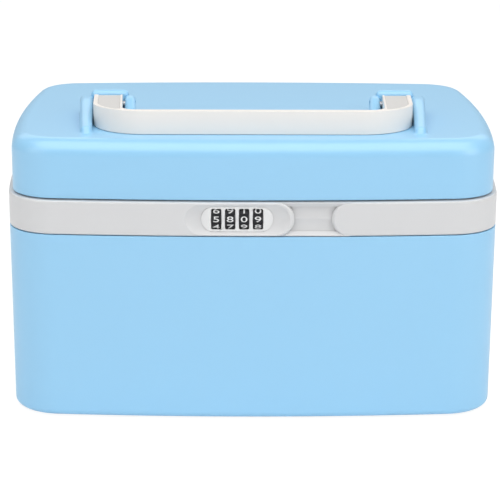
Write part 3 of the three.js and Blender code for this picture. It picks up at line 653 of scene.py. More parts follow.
def plastic(
    name: str,
    slot: str,
    colour: Colour,
    cloud: Colour,
    roughness: float,
    grain: float = 0.6,
    depth: float = 0.12,
    **shader: float,
) -> Finish:
    """Describes a moulded plastic.

    Args:
        name: The material's name.
        slot: The record's material slot.
        colour: Its linear colour.
        cloud: The linear colour of its faint flow clouds.
        roughness: Its mean roughness.
        grain: The size of its surface grain, in millimetres.
        depth: How strongly the grain shows.
        **shader: Constants of the shader's own sockets, with _ for a space.

    Returns:
        The finish.
    """
    values = {
        "Colour": (*colour, 1),
        "Cloud Tint": (*cloud, 1),
        "Cloud Amount": 0.5,
        "Roughness": roughness,
        "Roughness Spread": 0.03,
        "Grain Size": grain,
        "Grain Depth": depth,
    }
    constants = {key.replace("_", " "): value for key, value in shader.items()}
    return Finish(name, slot, "moulded_plastic", values, constants)


def metal(name: str, slot: str, colour: Colour, roughness: float) -> Finish:
    """Describes a plated or drawn metal.

    Args:
        name: The material's name.
        slot: The record's material slot.
        colour: Its linear colour.
        roughness: Its least roughness.

    Returns:
        The finish.
    """
    tints = {"Colour": (*colour, 1), "Line Tint": (*(0.8 * each for each in colour), 1)}
    values = tints | {"Roughness": roughness, "Line Depth": 0.2}
    return Finish(name, slot, "drawn_metal", values, {"Metallic": 1.0})


SHELL_BLUE = plastic(
    "shell_blue", "blue_shell", (0.315, 0.635, 0.9), (0.305, 0.615, 0.885), 0.3, 0.6, 0.05, IOR=1.72
)
BAND_GREY = plastic(
    "band_grey", "grey_band", (0.685, 0.685, 0.69), (0.677, 0.677, 0.682), 0.3, IOR=1.5
)
HANDLE_GREY = plastic(
    "handle_pale", "handle_grey", (0.9, 0.85, 0.8), (0.89, 0.84, 0.79), 0.4, IOR=1.46
)
# A darker copy of the handle's grey that paints shade on the floors of the sunk arm panels
HANDLE_PANEL_SHADE = plastic(
    "handle_panel_painted_shade",
    "handle_grey",
    (0.64, 0.625, 0.605),
    (0.63, 0.615, 0.595),
    0.6,
    0.4,
    0.2,
    IOR=1.46,
)
LOCK_FACE = plastic(
    "lock_face_pale", "lock_face", (0.79, 0.79, 0.79), (0.78, 0.78, 0.78), 0.3, 0.4, 0.06
)
DIAL_BLACK = plastic(
    "dial_black", "dial_black", (0.012, 0.012, 0.013), (0.02, 0.02, 0.022), 0.32, 0.3, 0.08
)
DIGIT_WHITE = plastic(
    "digit_white", "lock_face", (0.8, 0.8, 0.8), (0.72, 0.72, 0.72), 0.5, 0.2, 0.1
)
TRAY_FROST = plastic(
    "tray_frost", "tray_plastic", (0.78, 0.8, 0.82), (0.74, 0.765, 0.79), 0.45, 0.5, 0.2
)
FOOT_RUBBER = plastic(
    "foot_rubber", "foot_rubber", (0.42, 0.44, 0.47), (0.36, 0.38, 0.41), 0.8, 0.35, 0.5
)
PLATED_STEEL = metal("plated_steel", "lock_metal", (0.56, 0.57, 0.6), 0.24)
SPRING_STEEL = metal("spring_steel", "spring_steel", (0.46, 0.47, 0.5), 0.28)


def finish_piece(
    piece: Piece,
    name: str,
    body: str,
    finish: Finish,
    replaces: Sequence[str] = (),
    smooth: float = 32,
) -> None:
    """Smooths, dresses and mounts a finished piece.

    Args:
        piece: The piece.
        name: Its final name.
        body: The body of the model that it moves with.
        finish: Its finish.
        replaces: The plain solids that it stands for.
        smooth: Edges under this angle, in degrees, are shaded smooth.
    """
    outward(piece)
    piece.name = name
    piece.data.name = name
    activate(piece)
    bpy.ops.object.shade_smooth_by_angle(angle=math.radians(smooth))
    modify(piece, "WEIGHTED_NORMAL", keep_sharp=True)
    finish.dress(piece)
    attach(piece, body)
    if replaces:
        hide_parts(*replaces)
    log.info("%s: %d faces, rides on %s", name, len(piece.data.polygons), body)


# Shared sizes, in millimetres


@dataclass(frozen=True)
class Sizes:
    """Sizes and heights that more than one sub-assembly needs."""

    width: float = 260
    depth: float = 180
    corner: float = 26.6
    front_bow: float = 3.9
    side_bow: float = 3.2
    tub_bottom: float = 1.2
    tub_top: float = 99.1
    band_bottom: float = 99.45
    band_top: float = 117.0
    lid_bottom: float = 117.8
    lid_top: float = 147.85
    gap: float = 0.3

    @property
    def band_mid(self) -> float:
        """The height of the middle of the band."""
        return (self.band_bottom + self.band_top) / 2

    @property
    def nose(self) -> float:
        """The radius of the wings' round noses, which is half the band's height."""
        return (self.band_top - self.band_bottom) / 2

    @property
    def front(self) -> float:
        """The furthest point of the front."""
        return -self.depth / 2

    @property
    def rear(self) -> float:
        """The furthest point of the back."""
        return self.depth / 2


SIZES = Sizes()


@dataclass(frozen=True)
class Plan:
    """The box's plan of bowed sides and round corners: a section spun three times and mirrored."""

    sizes: Sizes = SIZES
    front_steps: int = 20
    corner_steps: int = 18
    side_steps: int = 10

    @property
    def core(self) -> Vector:
        """The middle of the round corner at the right of the back."""
        s = self.sizes
        return Vector(
            (s.width / 2 - s.corner - s.side_bow, s.depth / 2 - s.corner - s.front_bow)
        )

    @staticmethod
    def bow(half_chord: float, rise: float) -> Point:
        """The radius and half angle of an arc from its half chord and its rise."""
        radius = (half_chord**2 + rise**2) / (2 * rise)
        return radius, math.asin(half_chord / radius)

    def front_fall(self, x: float) -> float:
        """How far the front stands back, at x, from its furthest point."""
        radius = self.bow(self.core.x, self.sizes.front_bow)[0] + self.sizes.corner
        return radius - math.sqrt(radius**2 - x**2)

    def sweep(self, name: str, section: Sequence[Point], closed: bool = False) -> Piece:
        """Spins a section round a quarter of the plan and mirrors it twice.

        Args:
            name: The piece's name.
            section: The section as (inset, height) points, in millimetres.
            closed: Whether the section closes on itself. The ends of an open one are filled
                with a level face each.

        Returns:
            The closed shell.
        """
        s, core = self.sizes, self.core
        places = [Vector((0, s.front + inset, z)) * MM for inset, z in section]
        piece = point_piece(name, places[0])
        extrude_chain(piece, places)
        front_radius, front_angle = self.bow(core.x, s.front_bow)
        side_radius, side_angle = self.bow(core.y, s.side_bow)
        spins = [
            ((0, front_radius - core.y - s.front_bow), front_angle, self.front_steps),
            ((core.x, -core.y), math.pi / 2 - front_angle - side_angle, self.corner_steps),
            ((core.x + s.side_bow - side_radius, 0), side_angle, self.side_steps),
        ]
        with editing(piece):
            if closed:
                self.close_loop(piece, places)
            for (x, y), angle, steps in spins:
                centre = (x * MM, y * MM, 0)
                bpy.ops.mesh.spin(steps=steps, angle=-angle, center=centre, axis=(0, 0, 1))
        quarters = {"use_axis": (True, True, False), "merge_threshold": 0.01 * MM}
        modify(piece, "MIRROR", use_mirror_merge=True, **quarters)
        if not closed:
            self.fill_ends(piece)
        outward(piece)
        return piece

    @staticmethod
    def close_loop(piece: Piece, places: Sequence[Vector]) -> None:
        """Joins the last vertex of a section in edit mode to its first.

        Args:
            piece: The piece in edit mode.
            places: The section's points, in metres.
        """
        ends = places[0], places[-1]
        pick(piece, lambda v: min((v.co - end).length for end in ends) < NEAR / 10)
        bpy.ops.mesh.edge_face_add()
        bpy.ops.mesh.select_all(action="SELECT")

    @staticmethod
    def fill_ends(piece: Piece) -> None:
        """Fills each open edge loop of a shell with a level face.

        Args:
            piece: The shell.
        """
        with editing(piece, "EDGE"):
            mesh = bmesh.from_edit_mesh(piece.data)
            for height in {round(e.verts[0].co.z, 6) for e in mesh.edges if e.is_boundary}:
                level = height / MM
                pick(piece, lambda e: e.is_boundary and lies_at(e, level), "edges")
                bpy.ops.mesh.edge_face_add()


PLAN = Plan()


# The tub with its feet


@dataclass
class Tub:
    """The lower shell and the four pads under it."""

    wall: float = 2.4
    floor: float = 2.8
    draft: float = 0.3
    bottom_round: float = 3.2
    rim_round: float = 0.35
    fill: float = 12

    def build(self) -> None:
        """Models the shell and dresses the pads."""
        s = SIZES
        floor = s.tub_bottom + self.floor
        inner = self.wall + self.draft
        section = [
            (self.draft + self.fill, s.tub_bottom, 0),
            (self.draft, s.tub_bottom, self.bottom_round),
            (0, s.tub_top, self.rim_round),
            (self.wall, s.tub_top, self.rim_round),
            (inner, floor, self.bottom_round),
            (inner + self.fill, floor, 0),
        ]
        shell = PLAN.sweep("tub", soften(section, 6, closed=False))
        finish_piece(shell, "tub_shell", "base", SHELL_BLUE, ["base_tub"])
        FOOT_RUBBER.dress_nodes(*(f"foot_pad_{number}" for number in range(1, 5)))


# The band round the rim


@dataclass
class RimBand:
    """The grey ring between tub and lid, with the lock's dish and the button's gap."""

    wall: float = 2.4
    flange: float = 1.3
    tongue_wall: float = 1.6
    tongue_depth: float = 4
    lip_inset: float = 4.8
    lip_wall: float = 1.6
    lip_height: float = 2.8
    ledge_inset: float = 10
    ledge_wall: float = 1.8
    edge_round: float = 1.0
    tub_wall: float = 2.4
    gap_left: float = 20.4
    gap_right: float = 39.9
    overlap: float = 4.4
    dish_centre: float = -8.4
    dish_half: float = 27
    dish_radius: float = 8.2
    dish_depth: float = 2.6
    sill: float = 2.3
    nose_draft: float = 0.4
    lock_half: float = 18.275
    lock_half_height: float = 6.55
    bezel_back: float = -85.9
    cover_left: float = -33.275
    cover_right: float = 49.3
    catch_middle: float = 30.15
    catch_width: float = 10
    catch_front: float = -81.3
    hinge_x: float = 62
    hinge_y: float = 86.6
    hinge_z: float = 121.4
    barrel: float = 3.1
    knuckle: float = 12
    lug: float = 6
    pin: float = 1.25
    pad_margin: float = 5.5
    screw_out: float = 5
    screw_radius: float = 1.6
    leaf_round: float = 0.35
    leaf_neck: float = 0.7
    bore: float = 40
    reach: float = 140
    ahead: float = 5
    above: float = 6
    overcut: float = 0.2
    hole_start: float = 6
    hole_length: float = 8
    button_floor: float = 1.8
    catch_room: float = 1.3
    well_play: float = 0.05
    plate_play: float = 0.04

    def ring(self) -> Piece:
        """Sweeps the ring's section round the plan.

        Returns:
            The ring.
        """
        s = SIZES
        lip_top = s.band_top + self.lip_height
        lip_back = self.lip_inset + self.lip_wall
        under = s.band_top - self.flange
        foot = s.band_bottom - self.tongue_depth
        head = s.band_bottom + 2
        tongue = self.tub_wall + s.gap
        ledge = self.ledge_inset - self.ledge_wall
        corners = [
            (0, s.band_bottom, self.edge_round),
            (0, s.band_top, self.edge_round),
            (self.lip_inset, s.band_top, 0.3),
            (self.lip_inset, lip_top, 0.5),
            (lip_back, lip_top, 0.5),
            (lip_back, s.band_top, 0.3),
            (self.ledge_inset, s.band_top, 0.4),
            (self.ledge_inset, foot, 0.3),
            (ledge, foot, 0.3),
            (ledge, under, 0.4),
            (self.wall, under, 0.3),
            (self.wall, head, 0),
            (tongue + self.tongue_wall, head, 0.2),
            (tongue + self.tongue_wall, foot, 0.3),
            (tongue, foot, 0.3),
            (tongue, s.band_bottom, 0),
        ]
        return PLAN.sweep("ring", soften(corners, 3), closed=True)

    @property
    def noses(self) -> Point:
        """The centres of the left and of the right nose along X."""
        return self.gap_left - SIZES.nose, self.gap_right + SIZES.nose

    def nose_outline(self) -> list[Point]:
        """Draws the gap between the wings, whose ends are the wings' round noses.

        Returns:
            The outline in (x, z).
        """
        s = SIZES
        near, far = self.noses
        right = arc(far, s.band_mid, s.nose, -90, -270, 24)
        left = [(self.gap_left - (x - self.gap_right), z) for x, z in reversed(right)]
        high, low = s.band_top + 2, s.band_bottom - 2
        return [*right, (far, high), (near, high), *left, (near, low), (far, low)]

    def gap_cutter(self) -> Piece:
        """Shapes the solid that cuts the gap, with a flared mouth that rounds the noses' edges.

        Returns:
            The solid.
        """
        s = SIZES
        fall = PLAN.front_fall(self.gap_left - s.nose / 2)
        mouth = s.front + fall + self.edge_round
        floor = s.front + self.wall + self.overcut
        cutter = prism("gap", self.nose_outline(), Facing.ALONG_Y, floor, mouth)
        self.narrow_noses(cutter, floor, 1 + self.nose_draft / s.nose)
        reached, steps = 0.0, 5
        for step in range(1, steps + 1):
            angle = math.pi / 2 * step / steps
            sunk = self.edge_round * (1 - math.cos(angle))
            face = mouth - self.edge_round * math.sin(angle)
            self.extrude_mouth(cutter, face)
            self.narrow_noses(cutter, face, (s.nose - sunk) / (s.nose - reached))
            reached = sunk
        self.extrude_mouth(cutter, s.front - self.ahead)
        lag = PLAN.front_fall(self.gap_right + s.nose / 2) - fall
        with editing(cutter):
            pick(cutter, lambda v: v.co.x > self.catch_middle * MM and v.co.y < (floor - 1) * MM)
            bpy.ops.transform.translate(value=(0, lag * MM, 0))
        return cutter

    @staticmethod
    def extrude_mouth(cutter: Piece, level: float) -> None:
        """Extrudes the foremost face of the cutter.

        Args:
            cutter: The cutter.
            level: Where the face comes to lie along Y, in millimetres.
        """
        with editing(cutter, "FACE"):
            faces = bmesh.from_edit_mesh(cutter.data).faces
            foremost = min(face.calc_center_median().y for face in faces)
            pick(cutter, lambda face: face.calc_center_median().y == foremost, "faces")
            step = (0, level * MM - foremost, 0)
            bpy.ops.mesh.extrude_region_move(TRANSFORM_OT_translate={"value": step})

    def narrow_noses(self, cutter: Piece, level: float, share: float) -> None:
        """Draws the foremost outline of both noses in towards their centres.

        Args:
            cutter: The cutter.
            level: Where the outline lies along Y, in millimetres.
            share: What is left of the noses' radius.
        """
        reach = (SIZES.nose + HAIR) * MM
        for centre in self.noses:
            middle = Vector((centre, level, SIZES.band_mid)) * MM

            def in_nose(vertex: bmesh.types.BMVert) -> bool:
                """Whether a vertex lies on the foremost outline of this nose."""
                spoke = vertex.co - middle
                return abs(spoke.y) < HAIR / 10 * MM and spoke.length < reach

            with editing(cutter):
                pick(cutter, in_nose)
                bpy.ops.transform.resize(value=(share, 1, share), center_override=middle)

    def dish(self) -> Piece:
        """Shapes the drawn-out ball that cuts the long dish round the lock.

        Returns:
            The ball.
        """
        ball = (self.dish_radius**2 + self.dish_depth**2) / (2 * self.dish_depth)
        deselect()
        bpy.ops.mesh.primitive_uv_sphere_add(segments=160, ring_count=80, radius=ball * MM)
        piece = bpy.context.object
        reach = self.dish_half - self.dish_radius
        for side in (-1, 1):
            with editing(piece):
                pick(piece, lambda v: v.co.x * side > NEAR / 10)
                bpy.ops.transform.translate(value=(side * reach * MM, 0, 0))
        surface = SIZES.front + PLAN.front_fall(self.dish_centre)
        shift(piece, (self.dish_centre, surface + self.dish_depth - ball, SIZES.band_mid))
        return piece

    def add_sills(self, ring: Piece) -> None:
        """Adds the sloping sills above and below the push button.

        Args:
            ring: The ring.
        """
        s = SIZES
        front = s.front + self.edge_round
        middle, back = s.front + self.wall + 0.05, s.front + self.wall + 0.7
        profile = [
            (back, 0.1),
            (back, 1.2),
            (middle, 1.4),
            (middle, self.sill),
            (middle - 0.2, self.sill),
            (front, 0.5),
            (front, 0.1),
        ]
        for edge, way in ((s.band_bottom, 1), (s.band_top, -1)):
            outline = [(y, edge + way * rise) for y, rise in profile]
            work_in(ring, Mix.ADD, prism("sill", outline, Facing.ALONG_X, *self.noses))

    def lug_outline(self) -> list[Point]:
        """Draws one leaf of the hinge, with its round barrel.

        Returns:
            The outline in (y, z).
        """
        low = SIZES.band_top - 1
        barrel = arc(self.hinge_y, self.hinge_z, self.barrel, -45, 180, 25)
        back = self.hinge_y + self.barrel * self.leaf_neck
        return [(self.hinge_y - self.barrel, low), (back, low), *barrel]

    def pocket(self, ring: Piece) -> None:
        """Cuts what the lock, the button, the catch and the lid need out of the ring.

        Args:
            ring: The ring.
        """
        s = SIZES
        front, under = s.front, s.band_top - self.flange
        back = front + self.ledge_inset + 3
        tongue_inner = self.tub_wall + s.gap + self.tongue_wall
        foot = s.band_bottom - self.tongue_depth
        half = self.catch_width / 2 + 1
        button = self.overlap + s.gap
        over = s.band_top + self.above
        lip_back = (
            (-self.reach, s.rear - s.corner, s.band_top),
            (self.reach, s.rear + self.ahead, over),
        )
        lock_well = (
            (self.cover_left - s.gap, front + tongue_inner + self.well_play, foot - 1),
            (self.cover_right + s.gap, back, under),
        )
        button_room = (
            (self.gap_left - button, front + self.wall, s.band_bottom + self.button_floor),
            (self.gap_right + button, back, under),
        )
        catch_slot = (
            (self.catch_middle - half, self.catch_front - self.catch_room, under - 1),
            (self.catch_middle + half, back, over),
        )
        rooms = lip_back, lock_well, button_room, catch_slot
        work_in(ring, Mix.CUT, *(block("room", low, high) for low, high in rooms))
        for x in (self.cover_left - self.screw_out, self.cover_right + self.screw_out):
            start = (x, front + self.hole_start, s.band_mid)
            hole = rod("screw_hole", "y", start, self.hole_length, self.screw_radius, 24)
            work_in(ring, Mix.CUT, hole)

    def add_hinge(self, ring: Piece) -> None:
        """Adds the leaves of the hinge and bores them for the pins.

        Args:
            ring: The ring.
        """
        reach = self.knuckle / 2 + SIZES.gap
        for place in (-self.hinge_x, self.hinge_x):
            for side in (-1, 1):
                ends = sorted((place + side * reach, place + side * (reach + self.lug)))
                leaf = prism("leaf", self.lug_outline(), Facing.ALONG_X, *ends)
                round_edges(leaf, lambda e: is_sharp(e, CREASE), self.leaf_round, 2)
                work_in(ring, Mix.ADD, leaf)
            start = (place - self.bore / 2, self.hinge_y, self.hinge_z)
            work_in(ring, Mix.CUT, rod("bore", "x", start, self.bore, self.pin + SIZES.gap, 32))

    def build(self) -> None:
        """Models the band and mounts it."""
        s = SIZES
        ring = self.ring()
        low, high = s.band_bottom + self.flange, s.band_top - self.flange
        front, back = s.front + self.wall - 1, self.bezel_back - s.gap
        half = self.lock_half + self.pad_margin
        outline = rounded((self.dish_centre - half, low), (self.dish_centre + half, high), 3)
        pad = prism("lock_pad", outline, Facing.ALONG_Y, front, back)
        near, far = self.noses
        button_frame = block("button_frame", (near, front, low), (far, back, high))
        work_in(ring, Mix.ADD, pad, button_frame)
        self.pocket(ring)
        self.add_hinge(ring)
        ahead, behind = s.front - self.ahead, self.bezel_back + 1
        window = prism("window", pill(-self.plate_play), Facing.ALONG_Y, ahead, behind)
        work_in(ring, Mix.CUT, window, self.gap_cutter())
        self.add_sills(ring)
        work_in(ring, Mix.CUT, self.dish())
        finish_piece(ring, "rim_band_ring", "base", BAND_GREY, ["rim_band"])


def pill(inset: float) -> list[Point]:
    """Draws the outline of the lock's face plate.

    Args:
        inset: How far the outline is drawn in, in millimetres.

    Returns:
        The outline in (x, z).
    """
    band = RimBand
    radius = band.lock_half_height - inset
    straight = band.lock_half - inset - radius
    right = arc(band.dish_centre + straight, SIZES.band_mid, radius, -90, 90, 16)
    return [*right, *arc(band.dish_centre - straight, SIZES.band_mid, radius, 90, 270, 16)]


# The combination lock


@dataclass
class CombinationLock:
    """The lock's face plate, its four dials with digits and the works behind them.

    The digits in shown are the ones that face the front at rest.
    """

    pitch: float = 7.05
    dial_radius: float = 7.1
    axis_y: float = -82.4
    window_width: float = 5.2
    window_height: float = 10.9
    window_round: float = 0.8
    disc_radius: float = 5.5
    disc_end: float = 1.85
    plate_round: float = 0.4
    window_edge: float = 0.3
    face_front: float = -89.0
    face_back: float = -85.9
    end_drop: float = 1.5
    flat_margin: float = 0.6
    shown: tuple[int, int, int, int] = (5, 8, 0, 9)
    digit_height: float = 3.1
    digit_width: float = 1.8
    digit_lift: float = 0.06
    font_share: float = 1.35
    slices: int = 9
    digit_bold: float = 0.01
    digit_depth: float = 0.06

    @property
    def places(self) -> list[float]:
        """The middle of each dial along X."""
        count = len(self.shown)
        return [RimBand.dish_centre + (i - (count - 1) / 2) * self.pitch for i in range(count)]

    def face_plate(self) -> None:
        """Models the pill-shaped plate with its four windows."""
        s = SIZES
        plate = prism("plate", pill(0), Facing.ALONG_Y, self.face_front, self.face_back)
        front = (self.face_front + HAIR) * MM

        def in_front(edge: Edge) -> bool:
            """Whether an edge lies in the plate's front."""
            return all(v.co.y < front for v in edge.verts)

        round_edges(plate, in_front, self.plate_round, 4)
        self.lower_ends(plate)
        half_w, half_h = self.window_width / 2, self.window_height / 2
        low, high = s.band_mid - half_h, s.band_mid + half_h
        for x in self.places:
            outline = rounded((x - half_w, low), (x + half_w, high), self.window_round)
            ahead = self.face_front - 3
            work_in(plate, Mix.CUT, prism("opening", outline, Facing.ALONG_Y, ahead, self.axis_y))
        round_edges(plate, lambda e: in_front(e) and is_sharp(e, CREASE), self.window_edge, 3)
        starts = [(x - half_w, self.axis_y, s.band_mid) for x in self.places]
        radius = self.dial_radius + s.gap
        for start in starts:
            work_in(plate, Mix.CUT, rod("relief", "x", start, self.window_width, radius, 96))
        spread = 3 * self.pitch + self.window_width + self.disc_end
        work_in(plate, Mix.CUT, rod("discs", "x", starts[0], spread, self.disc_radius, 64))
        finish_piece(plate, "lock_face_plate", "base", LOCK_FACE, ["lock_bezel"])

    def lower_ends(self, plate: Piece) -> None:
        """Lets both ends of the plate fall away from the flat round the windows.

        Args:
            plate: The plate.
        """
        middle, steps = RimBand.dish_centre, 12
        half = (len(self.shown) - 1) / 2
        flat = half * self.pitch + self.window_width / 2 + self.flat_margin
        tip = RimBand.lock_half + 0.5
        shares = [k / steps for k in range(steps + 1)]
        curve = [(flat + (tip - flat) * k, self.face_front + self.end_drop * k**2) for k in shares]
        left = [(middle - x, y) for x, y in reversed(curve)]
        front = [*left, *((middle + x, y) for x, y in curve)]
        back = [(middle + tip, self.axis_y), (middle - tip, self.axis_y)]
        view = prism("view", [*front, *back], Facing.ALONG_Z, SIZES.band_bottom, SIZES.band_top)
        work_in(plate, Mix.COMMON, view)

    def digits(self, number: int) -> None:
        """Prints the ten digits on one dial.

        Args:
            number: The dial's number, from 1 at the left.
        """
        marks = []
        for value in range(DIGITS):
            deselect()
            bpy.ops.object.text_add()
            mark = bpy.context.object
            text = mark.data
            text.body, text.align_x, text.align_y = str(value), "CENTER", "CENTER"
            text.size = self.digit_height * self.font_share * MM
            text.offset, text.extrude = self.digit_bold * MM, self.digit_depth * MM
            bpy.ops.object.convert(target="MESH")
            with editing(mark):
                bpy.ops.transform.resize(value=(self.digit_width, 1, 1), center_override=(0, 0, 0))
                for level in range(-(self.slices // 2), self.slices // 2 + 1):
                    bpy.ops.mesh.select_all(action="SELECT")
                    cut = (0, level * self.digit_height / self.slices * MM, 0)
                    bpy.ops.mesh.bisect(plane_co=cut, plane_no=(0, 1, 0))
            lead = value - self.shown[number - 1]
            self.wrap(mark, self.places[number - 1], math.radians(360 / DIGITS * lead))
            marks.append(mark)
        activate(marks[0])
        for mark in marks:
            mark.select_set(True)
        bpy.ops.object.join()
        finish_piece(marks[0], f"dial_digits_{number}", f"dial_{number}", DIGIT_WHITE)

    def wrap(self, mark: Piece, x: float, turn: float) -> None:
        """Lays a flat digit round the dial.

        Args:
            mark: The digit, drawn flat about the origin.
            x: The middle of the dial.
            turn: The digit's angle round the dial.
        """
        # The underside is sunk into the dial
        for vertex in mark.data.vertices:
            flat = vertex.co / MM
            radius = self.dial_radius + self.digit_lift * (1 if flat.z > 0 else -4)
            angle = turn + flat.y / self.dial_radius
            y = self.axis_y - radius * math.cos(angle)
            vertex.co = Vector((x + flat.x, y, SIZES.band_mid + radius * math.sin(angle))) * MM

    def build(self) -> None:
        """Models the plate and the digits, and dresses the works."""
        self.face_plate()
        for number in range(1, len(self.shown) + 1):
            DIAL_BLACK.dress_nodes(f"number_dial_{number}")
            PLATED_STEEL.dress_nodes(f"code_ring_{number}")
            self.digits(number)
        PLATED_STEEL.dress_nodes("dial_axle", "cover_screw_1", "cover_screw_2")
        SPRING_STEEL.dress_nodes("detent_spring")
        DIAL_BLACK.dress_nodes("code_reset_lever")
        BAND_GREY.dress_nodes("lock_cover")


# The push button and its latch


@dataclass
class PushButton:
    """The button's plate, its stems, and the coil that returns it."""

    left: float = 16.0
    right: float = 44.3
    face: float = -87.3
    back: float = -84.8
    low: float = 101.35
    high: float = 115.55
    flute: float = 0.7
    stems: Point = (-8.2, 6)
    stem_span: Point = (-4.6, -0.6)
    stem_round: float = 0.25
    edge_round: float = 0.3
    stem_width: float = 2.2
    stem_back: float = -75.225
    coil_x: float = 43.9
    coil_radius: float = 1.8
    wire: float = 0.3
    coil_start: float = -78.325
    coil_end: float = -68.725
    turns: int = 7
    anchor: float = -68.125
    travel: float = 3

    def build(self) -> None:
        """Models the button and the coil, and dresses the slider."""
        middle, steps = (self.low + self.high) / 2, 12
        face = []
        for start, end in ((self.high, middle), (middle, self.low)):
            for share in (k / steps for k in range(steps)):
                sunk = self.flute * math.sin(math.pi * share)
                face.append((self.face + sunk, start + (end - start) * share))
        outline = [(self.back, self.low), (self.back, self.high), *face, (self.face, self.low)]
        plate = prism("plate", outline, Facing.ALONG_X, self.left, self.right)
        low, high = (SIZES.band_mid + z for z in self.stem_span)
        for x in (RimBand.catch_middle + place for place in self.stems):
            corner = (x + self.stem_width, self.stem_back, high)
            stem = block("stem", (x, self.back - 0.5, low), corner, self.stem_round)
            work_in(plate, Mix.ADD, stem)
        round_edges(plate, lambda e: is_sharp(e, CREASE), self.edge_round, 2)
        finish_piece(plate, "push_button", "button", BAND_GREY, ["latch_button"])
        BAND_GREY.dress_nodes("latch_slider")
        self.coil()

    def coil(self) -> None:
        """Winds the return spring with a screw of one round wire."""
        deselect()
        upright = (math.pi / 2, 0, 0)
        bpy.ops.mesh.primitive_circle_add(vertices=10, radius=self.wire * MM, rotation=upright)
        wire = added("coil")
        shift(wire, (self.coil_radius, 0, 0))
        modify(
            wire,
            "SCREW",
            axis="Z",
            angle=2 * math.pi,
            screw_offset=(self.coil_end - self.coil_start) / self.turns * MM,
            iterations=self.turns,
            steps=24,
            render_steps=24,
            use_normal_calculate=True,
        )
        with editing(wire, "EDGE"):
            bpy.ops.mesh.select_all(action="DESELECT")
            bpy.ops.mesh.select_non_manifold()
            bpy.ops.mesh.edge_face_add()
        turn(wire, -90, "X", (0, 0, 0))
        shift(wire, (self.coil_x, self.coil_start, SIZES.band_mid))
        finish_piece(wire, "return_coil", "base", SPRING_STEEL, ["latch_spring"], CREASE)
        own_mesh(wire)


# The lid


